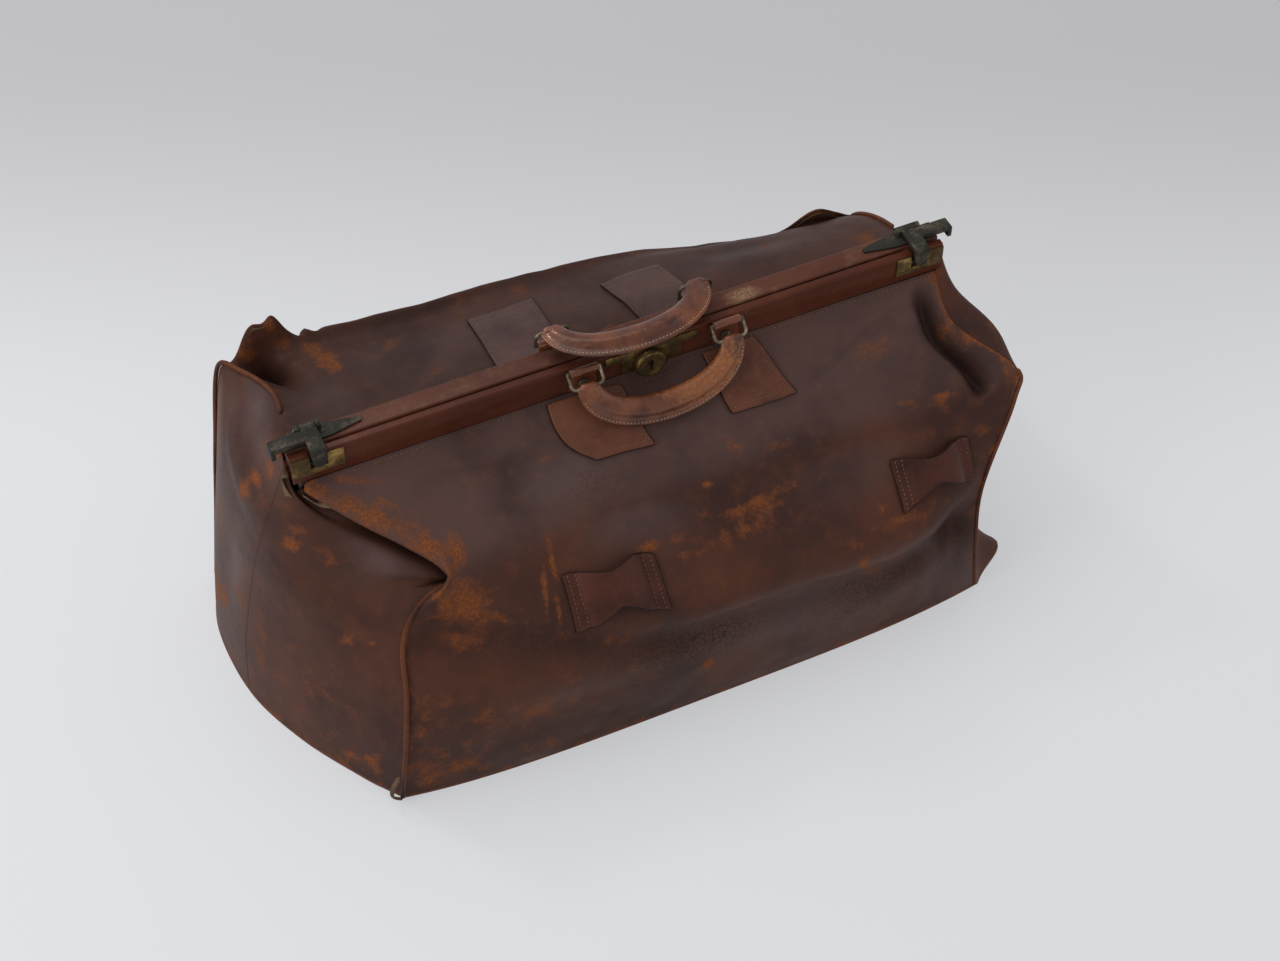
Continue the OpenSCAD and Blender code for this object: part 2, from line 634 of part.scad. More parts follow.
// Plate with stepped ends and a round drop behind the boss
module lock_plate() {
    top = jaw_top - edge_r - 1;
    step = lock_plate_len / 2 - 14;
    drop_r = boss_r + 4;
    color(brass_colour) difference() {
        translate([0, plate_back, 0]) rotate([90, 0, 0]) linear_extrude(lock_plate_t) union() {
            translate([lock_x - lock_plate_len / 2, top - 9]) square([lock_plate_len, 9]);
            translate([lock_x - step, jaw_low + 3]) square([2 * step, top - jaw_low - 3]);
            translate([lock_x, boss_z]) circle(drop_r);
        }
        stem_slot(plate_front - 1, plate_back + 1);
    }
}
module lock_case() {
    staple_room = staple_half + clearance;
    color(brass_colour) difference() {
        block([lock_x - case_half, front_face_y, case_low], [lock_x + case_half, -jaw_gap / 2, case_high]);
        block([lock_x - case_half + case_wall, front_face_y + case_wall, case_low + case_wall],
            [lock_x + case_half - case_wall, -jaw_gap / 2 - case_wall, case_high - case_wall]);
        stem_slot(front_face_y - 1, front_face_y + case_wall + 1);
        block([lock_x - staple_room, -jaw_gap / 2 - case_wall - 1, staple_z - staple_t / 2 - 2 * clearance],
            [lock_x + staple_room, 0, staple_z + staple_t / 2 + 2 * clearance]);
    }
}
// Round boss with a domed rim and a keyhole, on its stem; it rests at the left of its travel
rest_x = lock_x - lock_travel / 2;
module lock_boss() {
    boss_back = plate_front - fit;
    rim = 2;
    keyhole_d = 3;
    color(brass_colour) difference() {
        union() {
            translate([rest_x, boss_back, boss_z]) rotate([90, 0, 0]) rotate_extrude() polygon([
                [0, 0], [boss_r, 0], [boss_r, boss_d - rim],
                for (a = [15:15:90]) [boss_r - rim + rim * cos(a), boss_d - rim + rim * sin(a)],
                [boss_r - rim - 2, boss_d - 1], [0, boss_d - 1]]);
            translate([rest_x, bolt_y - fit, stem_z]) rotate([90, 0, 0])
                cylinder(r = stem_r, h = bolt_y - fit - boss_back);
        }
        translate([rest_x, boss_back - boss_d + keyhole_d, boss_z + 2]) rotate([90, 0, 0])
            cylinder(r = 2, h = boss_d);
        block([rest_x - 1, boss_back - boss_d - 1, boss_z - 6],
            [rest_x + 1, boss_back - boss_d + keyhole_d, boss_z + 2]);
    }
}
// Bolt behind the boss, with a notch that clears the staple until the boss is slid
module lock_bolt() {
    high = stem_z + stem_r + 1;
    color(steel_colour) block([rest_x - 9, bolt_y, stem_z - stem_r], [rest_x + 9, bolt_y + bolt_t, high]);
}
// Staple on the back jaw that enters the lock
staple_half = 6;
staple_t = 2;
staple_z = stem_z + stem_r + 5;
module hasp_staple() {
    tip = bolt_y + bolt_t + 0.6;
    seat = back_face_y - fit;
    color(brass_colour) difference() {
        block([lock_x - staple_half, tip, staple_z - staple_t / 2],
            [lock_x + staple_half, seat, staple_z + staple_t / 2]);
        block([lock_x - staple_half + 2, tip + 1.2, staple_z - staple_t],
            [lock_x + staple_half - 2, -jaw_gap / 2 - case_wall, staple_z + staple_t]);
    }
}

// Catches

claw_axis_y = flange_back_y - 5;
claw_axis_z = jaw_top + catch_t + claw_t / 2 + 2.6;
knuckle_r = claw_pin_r + 2;
hook_y = front_face_y - plate_gap - lock_plate_t - 2 * clearance;

// Tapered plate on the back jaw's top, with two knuckles for the claw's pin
module catch_plate(side) {
    outer = cover_half;
    inner = outer - catch_len;
    low = jaw_top + fit;
    mid_y = (back_face_y + flange_back_y) / 2;
    half_d = flange_d / 2 - edge_r;
    knuckle_w = 4;
    taper = 0.4 * catch_len;
    color(brass_colour) difference() {
        union() {
            translate([0, 0, low]) linear_extrude(catch_t) polygon([
                [side * outer, mid_y - half_d], [side * outer, mid_y + half_d],
                [side * (inner + taper), mid_y + half_d], [side * inner, mid_y + 2],
                [side * inner, mid_y - 2], [side * (inner + taper), mid_y - half_d]]);
            for (s = [-1, 1])
                knuckle(side * claw_x + s * (claw_w / 2 + knuckle_w / 2 + clearance), knuckle_w, low);
        }
        translate([side * claw_x - claw_w, claw_axis_y, claw_axis_z]) rotate([0, 90, 0])
            cylinder(r = claw_pin_r + running_fit, h = 2 * claw_w);
    }
}
module knuckle(x, w, low) {
    translate([x - w / 2, claw_axis_y, claw_axis_z]) rotate([0, 90, 0]) cylinder(r = knuckle_r, h = w);
    block([x - w / 2, claw_axis_y - knuckle_r, low], [x + w / 2, claw_axis_y + knuckle_r, claw_axis_z]);
}
module claw_pin(side) {
    length = claw_w + 10;
    color(steel_colour) translate([side * claw_x - length / 2, claw_axis_y, claw_axis_z]) rotate([0, 90, 0])
        cylinder(r = claw_pin_r, h = length);
}
// Claw: sleeve on the pin, arm bent down into a round-ended hook, and a thumb bar past the frame's end
arm_low = claw_axis_z - claw_t / 2;
arm_high = arm_low + claw_t;
bend_r = 2.5;
module claw_arm() {
    bend = [hook_y + bend_r, arm_low - bend_r];
    tip_r = 0.42 * claw_w;
    intersection() {
        along_x(-claw_w / 2, claw_w / 2) polygon([
            [claw_axis_y, arm_low], [claw_axis_y, arm_high],
            for (a = [90:15:180]) bend + (bend_r + claw_t) * [cos(a), sin(a)],
            [hook_y - claw_t, hook_low], [hook_y, hook_low],
            for (a = [180:-15:90]) bend + bend_r * [cos(a), sin(a)]]);
        along_y(hook_y - 2 * claw_t, claw_axis_y + 1) polygon([
            [-claw_w / 2, arm_high + 1], [-claw_w / 2, jaw_top],
            for (a = [180:15:360]) [tip_r * cos(a), hook_low + tip_r * (1 + sin(a))],
            [claw_w / 2, jaw_top], [claw_w / 2, arm_high + 1]]);
    }
}
module claw_thumb() {
    near = claw_w / 2 - 1;
    end = claw_inset + thumb_over;
    top = arm_high + thumb_raise;
    back_y = claw_axis_y - knuckle_r - 1;
    along_y(back_y - thumb_d, back_y) polygon([
        [near, arm_low], [near, arm_high], [near + 2 * thumb_raise, top],
        for (a = [90:-15:0]) [end - bend_r * (1 - cos(a)), top - bend_r * (1 - sin(a))],
        [end, arm_low - thumb_drop], [end - claw_t, arm_low - thumb_drop], [end - claw_t, arm_low]]);
}
module claw(side) {
    color(brass_colour) translate([side * claw_x, 0, 0]) mirror([side < 0 ? 1 : 0, 0, 0]) difference() {
        union() {
            claw_arm();
            claw_thumb();
            translate([-claw_w / 2, claw_axis_y, claw_axis_z]) rotate([0, 90, 0])
                cylinder(r = knuckle_r, h = claw_w);
        }
        translate([-claw_w, claw_axis_y, claw_axis_z]) rotate([0, 90, 0])
            cylinder(r = claw_pin_r + running_fit, h = 2 * claw_w);
    }
}
module left_catch_plate() { catch_plate(-1); }
module right_catch_plate() { catch_plate(1); }
module left_claw_pin() { claw_pin(-1); }
module right_claw_pin() { claw_pin(1); }
module left_claw() { claw(-1); }
module right_claw() { claw(1); }

// Handles

// Ring bars: the first turns in its chape, the second in the handle's end
chape_t = 2;
chape_r = ring_wire_r + running_fit + chape_t;
front_pivot = [0, front_face_y - fit - chape_r - 0.5, jaw_top - edge_r];
back_pivot = [0, flange_back_y + fit + chape_r + 0.5, jaw_top + 1.5];
front_eye = front_pivot - ring_len * [0, cos(front_ring_deg), sin(front_ring_deg)];
back_eye = back_pivot - ring_len * [0, cos(back_ring_deg), -sin(back_ring_deg)];
chape_w = ring_w - 2 * ring_wire_r - 2 * clearance;
eye_w = ring_w - 2 * ring_corner - 2 * clearance;

// Places a ring or handle that lies in the XY plane, reaching to -Y, at its pivot
module at_rest(x, pivot, degrees) {
    translate([x, pivot.y, pivot.z]) rotate([degrees, 0, 0]) children();
}

// Wire ring with a straight upper bar and rounded lower corners, in the XY plane
module ring() {
    straight = ring_w / 2 - ring_corner;
    color(brass_colour) {
        translate([-ring_w / 2, 0, 0]) rotate([0, 90, 0]) cylinder(r = ring_wire_r, h = ring_w);
        translate([-straight, -ring_len, 0]) rotate([0, 90, 0]) cylinder(r = ring_wire_r, h = 2 * straight);
        for (s = [-1, 1]) {
            translate([s * ring_w / 2, 0, 0]) {
                rotate([90, 0, 0]) cylinder(r = ring_wire_r, h = ring_len - ring_corner);
                sphere(ring_wire_r);
            }
            translate([s * straight, ring_corner - ring_len, 0]) rotate([0, 0, s > 0 ? -90 : 180])
                rotate_extrude(angle = 90) translate([ring_corner, 0]) circle(ring_wire_r);
        }
    }
}
// Handle: a crescent of leather, thick at the grip, with an eye at each end for its ring
bow_power = 0.95;
function bow_point(a) = [handle_span / 2 * sign(cos(a)) * pow(abs(cos(a)), bow_power),
    -handle_drop * pow(abs(sin(a)), bow_power), 0];
module handle() {
    rings = 26;
    sides = 12;
    span = [for (k = [0:rings]) 180 * (1 - cos(180 * k / rings)) / 2];
    path = [for (a = span) bow_point(a)];
    loops = [for (k = [0:rings])
        let (way = unit(path[min(k + 1, rings)] - path[max(k - 1, 0)]), out = cross(way, [0, 0, 1]),
            full = pow(sin(180 * k / rings), 0.5),
            w = mix(eye_w, grip_w, full) / 2, t = mix(2 * chape_r, grip_t, full) / 2)
        [for (s = [0:sides - 1])
            path[k] + out * w * cos(360 * s / sides) + [0, 0, t * sin(360 * s / sides)]]];
    faces = [
        for (k = [0:rings - 1], s = [0:sides - 1])
            let (a = k * sides + s, b = k * sides + (s + 1) % sides)
            each [[a, b, b + sides], [a, b + sides, a + sides]],
        [for (s = [sides - 1:-1:0]) s],
        [for (s = [0:sides - 1]) rings * sides + s]];
    color(leather_red) difference() {
        union() {
            polyhedron(points = [for (g = loops) each g], faces = faces, convexity = 8);
            for (s = [-1, 1]) translate([s * handle_span / 2 - eye_w / 2, 0, 0]) rotate([0, 90, 0])
                cylinder(r = chape_r, h = eye_w);
        }
        for (s = [-1, 1]) translate([s * handle_span / 2 - ring_w, 0, 0]) rotate([0, 90, 0])
            cylinder(r = ring_wire_r + running_fit, h = 2 * ring_w);
    }
}
// Leather chape folded round a ring's bar and held to the jaw by a rivet
module chape(x, pivot, face_y, low, high) {
    side = sign(pivot.y);
    plate_y = [face_y + side * fit, face_y + side * (fit + chape_t)];
    color(leather_red) difference() {
        union() {
            block([x - chape_w / 2, min(plate_y), low], [x + chape_w / 2, max(plate_y), high]);
            translate([x - chape_w / 2, pivot.y, pivot.z]) rotate([0, 90, 0]) cylinder(r = chape_r, h = chape_w);
        }
        translate([x - ring_w, pivot.y, pivot.z]) rotate([0, 90, 0])
            cylinder(r = ring_wire_r + running_fit, h = 2 * ring_w);
    }
}
// Domed rivets on the chapes' plates
rivet_r = 3.6;
module rivet(x, face_y, side, z) {
    translate([x, face_y + side * (2 * fit + chape_t), z]) rotate([-side * 90, 0, 0])
        rotate_extrude() polygon([[0, 0], [rivet_r, 0],
            for (a = [15:15:90]) [rivet_r * cos(a), rivet_r * 0.55 * sin(a)]]);
}
front_ring_x = [front_handle_x - handle_span / 2, front_handle_x + handle_span / 2];
back_ring_x = [back_handle_x - handle_span / 2, back_handle_x + handle_span / 2];
front_chape_z = [jaw_low + 3, front_pivot.z];
back_chape_z = [lip_low + 1, back_pivot.z + 2];
module front_left_chape() { chape(front_ring_x[0], front_pivot, front_face_y, front_chape_z[0], front_chape_z[1]); }
module front_right_chape() { chape(front_ring_x[1], front_pivot, front_face_y, front_chape_z[0], front_chape_z[1]); }
module back_left_chape() { chape(back_ring_x[0], back_pivot, flange_back_y, back_chape_z[0], back_chape_z[1]); }
module back_right_chape() { chape(back_ring_x[1], back_pivot, flange_back_y, back_chape_z[0], back_chape_z[1]); }
module front_rivets() {
    color(brass_colour) for (x = front_ring_x) rivet(x, front_face_y, -1, front_chape_z[0] + 2 * rivet_r);
}
module back_rivets() {
    color(brass_colour) for (x = back_ring_x) rivet(x, flange_back_y, 1, back_chape_z[0] + 2 * rivet_r);
}
module front_left_ring() { at_rest(front_ring_x[0], front_pivot, front_ring_deg) ring(); }
module front_right_ring() { at_rest(front_ring_x[1], front_pivot, front_ring_deg) ring(); }
module front_handle() { at_rest(front_handle_x, front_eye, front_rest_deg) handle(); }
module back_left_ring() { at_rest(back_ring_x[0], back_pivot, -back_ring_deg) ring(); }
module back_right_ring() { at_rest(back_ring_x[1], back_pivot, -back_ring_deg) ring(); }
module back_handle() { at_rest(back_handle_x, back_eye, -back_rest_deg) handle(); }

base_panel();
base_board();
front_panel();
back_panel();
left_gusset();
right_gusset();
front_left_piping();
front_right_piping();
back_left_piping();
back_right_piping();
front_left_keeper();
front_right_keeper();
back_left_keeper();
back_right_keeper();
left_hinge_pin();
right_hinge_pin();
front_yoke();
front_jaw_bar();
front_jaw_cover();
front_left_arm();
front_right_arm();
left_end_plate();
right_end_plate();
front_left_patch();
front_right_patch();
front_left_chape();
front_right_chape();
front_rivets();
lock_plate();
lock_case();
lock_boss();
lock_bolt();
front_left_ring();
front_right_ring();
front_handle();
back_yoke();
back_jaw_bar();
back_jaw_cover();
back_left_arm();
back_right_arm();
back_left_patch();
back_right_patch();
back_left_chape();
back_right_chape();
back_rivets();
left_catch_plate();
right_catch_plate();
left_claw_pin();
right_claw_pin();
hasp_staple();
back_left_ring();
back_right_ring();
back_handle();
left_claw();
right_claw();
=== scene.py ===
"""Looks of the doctor's bag: slumped leather walls, jaws, handles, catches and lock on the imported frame."""

import math

import bmesh
import bpy
import numpy as np
from mathutils import Matrix, Vector, noise


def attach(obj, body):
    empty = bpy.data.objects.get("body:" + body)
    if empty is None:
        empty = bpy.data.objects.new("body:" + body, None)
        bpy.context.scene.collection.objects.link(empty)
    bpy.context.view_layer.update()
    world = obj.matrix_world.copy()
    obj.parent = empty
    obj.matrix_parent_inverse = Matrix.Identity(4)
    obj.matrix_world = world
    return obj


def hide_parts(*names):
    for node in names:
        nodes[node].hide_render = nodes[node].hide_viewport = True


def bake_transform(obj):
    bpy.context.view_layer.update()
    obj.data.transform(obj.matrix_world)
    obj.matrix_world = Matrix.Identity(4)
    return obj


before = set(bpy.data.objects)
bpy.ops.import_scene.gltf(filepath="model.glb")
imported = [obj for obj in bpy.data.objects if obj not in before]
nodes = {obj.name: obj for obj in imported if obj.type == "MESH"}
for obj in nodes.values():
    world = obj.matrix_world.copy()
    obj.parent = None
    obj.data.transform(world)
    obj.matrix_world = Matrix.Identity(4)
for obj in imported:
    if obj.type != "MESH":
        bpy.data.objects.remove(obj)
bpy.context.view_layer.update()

MM = 0.001
HALF_LEN = 290.0
HINGE_Z = 195.0
FRONT_FACE_Y = -9.0
FLANGE_BACK_Y = 19.5
LEATHER_T = 3.5
BASE_T = 2.0
BASE_LIFT = 0.4
# how late along a wall its rows leave their middle for their ends
END_POWER = 4


# Shapes of the leather, in millimetres


def mix(a, b, t):
    return a + (b - a) * t


def hump(x, middle, width):
    return np.exp(-(((x - middle) / width) ** 2))


def bulge(x, size, middle, width):
    return size * hump(x, middle, width)


def ease(x, low, high):
    t = np.clip((x - low) / (high - low), 0, 1)
    return t * t * (3 - 2 * t)


def curve(rows, v):
    """Smooth curve through the rows (a list of arrays of points), at v from 0 to 1."""
    table = np.stack(rows, axis=1)
    last = table.shape[1] - 1
    k = np.clip(np.floor(v * last).astype(int), 0, last - 1)
    t = (v * last - k)[:, None]
    here = np.arange(len(v))
    a, b, c, d = (table[here, np.clip(k + i, 0, last)] for i in (-1, 0, 1, 2))
    return 0.5 * (2 * b + (c - a) * t + (2 * a - 5 * b + 4 * c - d) * t**2 + (3 * b - a - 3 * c + d) * t**3)


def row(left, middle, right, u):
    """A row of a wall: straight along X, with its own middle and ends."""
    share = np.abs(2 * u - 1) ** END_POWER
    end = np.where((u < 0.5)[:, None], left, right)
    return np.stack([mix(left[0], right[0], u)] + [mix(middle[i], end[:, i], share) for i in (1, 2)], axis=1)


def fold_row(left_x, right_x, angles, r, side, u):
    """A row on a circle about the hinge, by angles from upright."""
    end = np.where(u < 0.5, angles[0], angles[2])
    a = np.radians(mix(angles[1], end, np.abs(2 * u - 1) ** END_POWER))
    return np.stack([mix(left_x, right_x, u), side * r * np.sin(a), HINGE_Z + r * np.cos(a)], axis=1)


FRONT_LEFT = [(-268, -138, 0), (-260, -136, 62), (-250, -124, 121)]
FRONT_MIDDLE = [(0, -151, 0), (0, -156, 62), (0, -152, 131)]
FRONT_RIGHT = [(282, -139, 0), (274, -141, 62), (278, -131, 129)]
FRONT_LEFT_LIP = [(-213, -86, 221), (-248, -46, 250), (-285, -8, 280)]
FRONT_RIGHT_LIP = [(322, -92, 226), (284, -48, 255), (285, -8, 280)]
BACK_LEFT = [(-334, 153, 0), (-321, 162, 78), (-311, 158, 170), (-299, 152, 262)]
BACK_MIDDLE = [(0, 167, 0), (0, 177, 78), (0, 174, 170), (0, 158, 247)]
BACK_RIGHT = [(326, 153, 0), (330, 161, 78), (320, 157, 160), (294, 149, 237)]
BACK_LEFT_LIP = [(-270, 85, 275), (-284, FLANGE_BACK_Y - 1, 285)]
BACK_RIGHT_LIP = [(286, 86, 261), (284, FLANGE_BACK_Y - 1, 285)]
FRONT_ANGLES = (106, 95.5, 87)
BACK_ANGLES = (60, 66, 72)
FRONT_FOLD_R = 106
BACK_FOLD_R = 150
FRONT_FOLD_X = (-241, 316)
BACK_FOLD_X = (-284, 284)
FRONT_JAW_EDGE = np.array([0, FRONT_FACE_Y + 1, 281.2])
BACK_JAW_EDGE = np.array([0, FLANGE_BACK_Y - 1, 286.2])
FRONT_CROWN = np.array([0, -4, 5])
BACK_CROWN = np.array([0, 2, 3])
# height of the crease in the lower front wall, along X
ROLL_X = (-250, -200, -114, -54, 0, 95, 192, 290)
ROLL_Z = (172, 165, 148, 124, 109, 104, 95, 92)
# the rolled left lip: ways out and under, on the wall and on the roof, its radius and its turn
LIP_OUT = np.array([[-1.0, -0.2, 0.0], [-0.66, -0.75, 0.0]])
LIP_UNDER = np.array([[0.2, 0.98, 0.0], [0.0, 0.0, -1.0]])
LIP_R = 11.0
LIP_TURN = 2.3


def pinch_at(u, v):
    """The fold pinched in from the right end of the jaw to the shoulder."""
    line = 0.974 - 0.034 * ease(v, 0.9, 0.64)
    return hump(u, line, 0.016) * ease(v, 0.53, 0.68) * (1 - ease(v, 0.9, 0.98))


# dents and swells of the front: size, middle and half width
LOCK_DENT = (14, 20, 28)
LOW_END_FALL = (13, 258, 26)
PINCH_DOWN = 20
PINCH_BACK = 7
# under and over the crease in the lower wall: size, height above the crease and half height
ROLL_IN = (8, -6, 17)
ROLL_OUT = (4.5, 34, 24)
# the walls laid flat, and creases on the front's roof: start, end and width
FRONT_SIZE = (560, 380)
BACK_SIZE = (600, 420)
END_SIZE = (420, 330)
ROOF_CREASES = [((545, 358), (395, 294), 5), ((395, 294), (250, 280), 7), ((70, 340), (170, 318), 7)]
CREASE_DEPTH = 3.8


def crease_at(u, v, start, end, width):
    """A crease between two places on the front laid flat, fading at its ends."""
    across, up = u * FRONT_SIZE[0] - start[0], v * FRONT_SIZE[1] - start[1]
    long, high = end[0] - start[0], end[1] - start[1]
    length = math.hypot(long, high)
    t = (across * long + up * high) / length**2
    side = (up * long - across * high) / length
    return hump(side, 0, width) * ease(t, 0, 0.2) * (1 - ease(t, 0.8, 1))


def front_sheet_at(u, v):
    """The front from foot (v = 0) over the shoulder to the jaw (v = 1), before its lip is rolled."""
    fold_middle = fold_row(0, 0, FRONT_ANGLES, FRONT_FOLD_R, -1, np.array([0.5]))[0]
    middles = [mix(fold_middle, FRONT_JAW_EDGE, share) + FRONT_CROWN for share in (0.33, 0.67)]
    middles += [FRONT_JAW_EDGE]
    rows = [row(*ends, u) for ends in zip(FRONT_LEFT, FRONT_MIDDLE, FRONT_RIGHT)]
    rows += [fold_row(*FRONT_FOLD_X, FRONT_ANGLES, FRONT_FOLD_R, -1, u)]
    rows += [row(*ends, u) for ends in zip(FRONT_LEFT_LIP, middles, FRONT_RIGHT_LIP)]
    p = curve(rows, v)
    roof = np.clip(2 * v - 1, 0, 1)
    inner = ease(u, 0, 0.06) * (1 - ease(u, 0.96, 1))
    # pressed in round the lock
    p[:, 2] -= bulge(p[:, 0], *LOCK_DENT) * roof**3 * (1 - ease(v, 0.975, 1))
    pinch = pinch_at(u, v)
    p[:, 2] -= PINCH_DOWN * pinch
    p[:, 1] += PINCH_BACK * pinch
    # soft creases across the roof
    for crease in ROOF_CREASES:
        p[:, 2] -= CREASE_DEPTH * crease_at(u, v, *crease)
    # the upper wall rolls out over a crease in the lower wall
    crease_z = np.interp(p[:, 0], ROLL_X, ROLL_Z)
    tuck, swell = (bulge(p[:, 2], size, crease_z + up, half) for size, up, half in (ROLL_IN, ROLL_OUT))
    p[:, 1] += inner * (tuck - swell) * (1 - roof)
    # the right end of the lower wall falls back
    low = ease(p[:, 2], 8, 50) * (1 - ease(p[:, 2], 100, 150))
    p[:, 1] += bulge(p[:, 0], *LOW_END_FALL) * low * inner
    return p


def lip_share(v):
    """How much of the roof's width is rolled under at its left edge."""
    return 0.045 - 0.035 * ease(v, 0.8, 1)


def front_leather_at(u, v):
    """The front sheet, with the left edge of its roof rolled under to a round lip."""
    grown = ease(v, 0.47, 0.64)
    share = lip_share(v) * grown
    turn = (np.clip(1 - u / np.maximum(share, 1e-6), 0, 1) * LIP_TURN * grown)[:, None]
    r = (LIP_R * (1 - 0.5 * ease(v, 0.84, 1)))[:, None]
    on_roof = ease(v, 0.54, 0.7)[:, None]
    out, under = mix(*LIP_OUT, on_roof), mix(*LIP_UNDER, on_roof)
    return front_sheet_at(np.maximum(u, share), v) + r * (np.sin(turn) * out + (1 - np.cos(turn)) * under)


# along the back: crumpled crest and valley at its left corner, flap at its right; height, middle, half width
BACK_LOBES = [(36, 0.05, 0.025), (25, 0.084, 0.014), (-8, 0.113, 0.007), (5, 0.125, 0.006), (-5, 0.14, 0.008)]
BACK_VALLEY = (30, 0.035, 0.02)
BACK_FLAP = (21, 0.928, 0.046)
SAG_DOWN = 33
SAG_IN = 14


def back_leather_at(u, v):
    """The back from foot (v = 0) over the shoulder to the jaw (v = 1)."""
    fold_middle = fold_row(0, 0, BACK_ANGLES, BACK_FOLD_R, 1, np.array([0.5]))[0]
    middles = [mix(fold_middle, BACK_JAW_EDGE, 0.5) + BACK_CROWN, BACK_JAW_EDGE]
    rows = [row(*ends, u) for ends in zip(BACK_LEFT, BACK_MIDDLE, BACK_RIGHT)]
    rows += [fold_row(*BACK_FOLD_X, BACK_ANGLES, BACK_FOLD_R, 1, u)]
    rows += [row(*ends, u) for ends in zip(BACK_LEFT_LIP, middles, BACK_RIGHT_LIP)]
    p = curve(rows, v)
    lobes = sum(bulge(u, *lobe) for lobe in BACK_LOBES)
    swell = 16 * (1 - ease(u, 0.0, 0.55)) * ease(u, 0.02, 0.09)
    p[:, 2] += hump(v, 0.5, 0.055) * lobes + hump(v, 0.52, 0.1) * swell
    # the right end sags, and a flap stands up at its corner
    sag = ease(u, 0.5, 0.92)
    p[:, 2] -= SAG_DOWN * sag * hump(v, 0.56, 0.17)
    p[:, 1] -= SAG_IN * sag * hump(v, 0.52, 0.2)
    p[:, 2] += bulge(u, *BACK_FLAP) * hump(v, 0.52, 0.085)
    # valley between the end seam and the crumpled corner
    p[:, 2] -= bulge(u, *BACK_VALLEY) * hump(v, 0.66, 0.1)
    # long folds across the roof
    roof = ease(v, 0.56, 0.7) * (1 - ease(v, 0.86, 0.97))
    p[:, 2] += roof * (4 * np.sin(u * 9 + 2.2 * v) - 5 * hump(u, 0.77, 0.12) * hump(v, 0.78, 0.06))
    return p


def spans(front, middle, back, s):
    """A bow through three points, at s from 0 to 1."""
    return front * (2 * s * s - 3 * s + 1) + middle * (4 * s - 4 * s * s) + back * (2 * s * s - s)


END_MIDDLE_Y = (20, 26, 22, 14, 6, 4, 2)
END_MIDDLE_Z = (0, 64, 136, 185, 226, 262, 296)


def end_middle(side, bow):
    """Points up the middle of an end wall, by how far each bows out past the frame."""
    return [np.array((side * (HALF_LEN + x), y, z), float) for x, y, z in zip(bow, END_MIDDLE_Y, END_MIDDLE_Z)]


LEFT_MIDDLE = end_middle(-1, [60, 53, 41, 33, 24, 12, 3])
RIGHT_MIDDLE = end_middle(1, [48, 50, 42, 34, 22, 12, 3])
# from the front edge to the bottom of the left pocket and to the crest before it
POCKET_SHIFT = np.array([46, 10, -34])
CREST_SHIFT = np.array([-12, 8, -3])
# along the right end: swell by the ear and flap on the floor; size, middle, half width
EAR_SWELL = (10, 0.2, 0.13)
FLOOR_FLAP = (26, 0.09, 0.06)
# where each end wall is split, how far its halves overlap there, and how far the rear half lies under
LEFT_SPLIT = 4 / 6
RIGHT_SPLIT = 0.5
SPLIT_OVERLAP = 0.012
SPLIT_EASE = 0.006
SPLIT_UNDER = 0.8


def left_end_at(c, t):
    """Left end wall: c runs front to back, t runs up; it tucks in under the roof at the front."""
    front, back = front_leather_at(0 * t, t), back_leather_at(0 * t, t)
    middle = curve([np.tile(m, (len(t), 1)) for m in LEFT_MIDDLE], t)
    tucked = (ease(t, 0.6, 0.7) * (1 - ease(t, 0.8, 0.96)))[:, None]
    below = ease(t, 0.57, 0.68)[:, None]
    pocket = mix(spans(front, middle, back, 0.04), front + POCKET_SHIFT, tucked)
    crest = mix(spans(front, middle, back, 0.1), front + CREST_SHIFT, below)
    face = mix(spans(front, middle, back, 0.28), spans(crest, middle, back, 0.24), below)
    rear = spans(front, middle, back, 0.78)
    return curve([front, pocket, crest, face, middle, rear, back], c)


def right_end_at(c, t):
    """Right end wall, likewise, with a plain bow."""
    front, back = front_leather_at(0 * t + 1, t), back_leather_at(0 * t + 1, t)
    middle = curve([np.tile(m, (len(t), 1)) for m in RIGHT_MIDDLE], t)
    p = spans(front, middle, back, c[:, None])
    p[:, 0] += bulge(c, *EAR_SWELL) * hump(t, 0.74, 0.12)
    # a flap of the seam lies out on the floor
    p[:, 0] += bulge(c, *FLOOR_FLAP) * (1 - ease(t, 0, 0.1))
    return p


def tucked_under(surface, split, inward):
    """An end wall whose edge at the split lies just under its neighbour's."""

    def at(c, t):
        p = surface(c, t)
        p[:, 0] += inward * ease(c, split + SPLIT_EASE, split)
        return p

    return at


# Meshes


def new_piece(name, bm, body, material, smooth=True):
    mesh = bpy.data.meshes.new(name)
    bm.to_mesh(mesh)
    bm.free()
    if smooth:
        mesh.shade_smooth()
    piece = bpy.data.objects.new(name, mesh)
    bpy.context.scene.collection.objects.link(piece)
    for m in material if isinstance(material, (list, tuple)) else [material]:
        mesh.materials.append(m)
    if body:
        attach(piece, body)
    return piece


def surface_grid(surface, cols, rows, u_range=(0, 1), v_range=(0, 1), outward=1, gather=0.0):
    """A grid laid on a surface, with columns gathered towards its ends."""
    bm = bmesh.new()
    bmesh.ops.create_grid(bm, x_segments=cols, y_segments=rows, size=0.5)
    flat = np.array([v.co for v in bm.verts])
    u = flat[:, 0] + 0.5
    u = mix(u_range[0], u_range[1], mix(u, 0.5 - 0.5 * np.cos(np.pi * u), gather))
    v = mix(v_range[0], v_range[1], flat[:, 1] + 0.5)
    points = surface(u, v)
    for vert, p in zip(bm.verts, points):
        vert.co = p * MM
    if outward < 0:
        bmesh.ops.reverse_faces(bm, faces=bm.faces)
    return bm, u, v, points


def set_mask(piece, name, values):
    layer = piece.data.attributes.new(name, "FLOAT", "POINT")
    layer.data.foreach_set("value", np.clip(values, 0, 1).astype(np.float32))


# Finishes


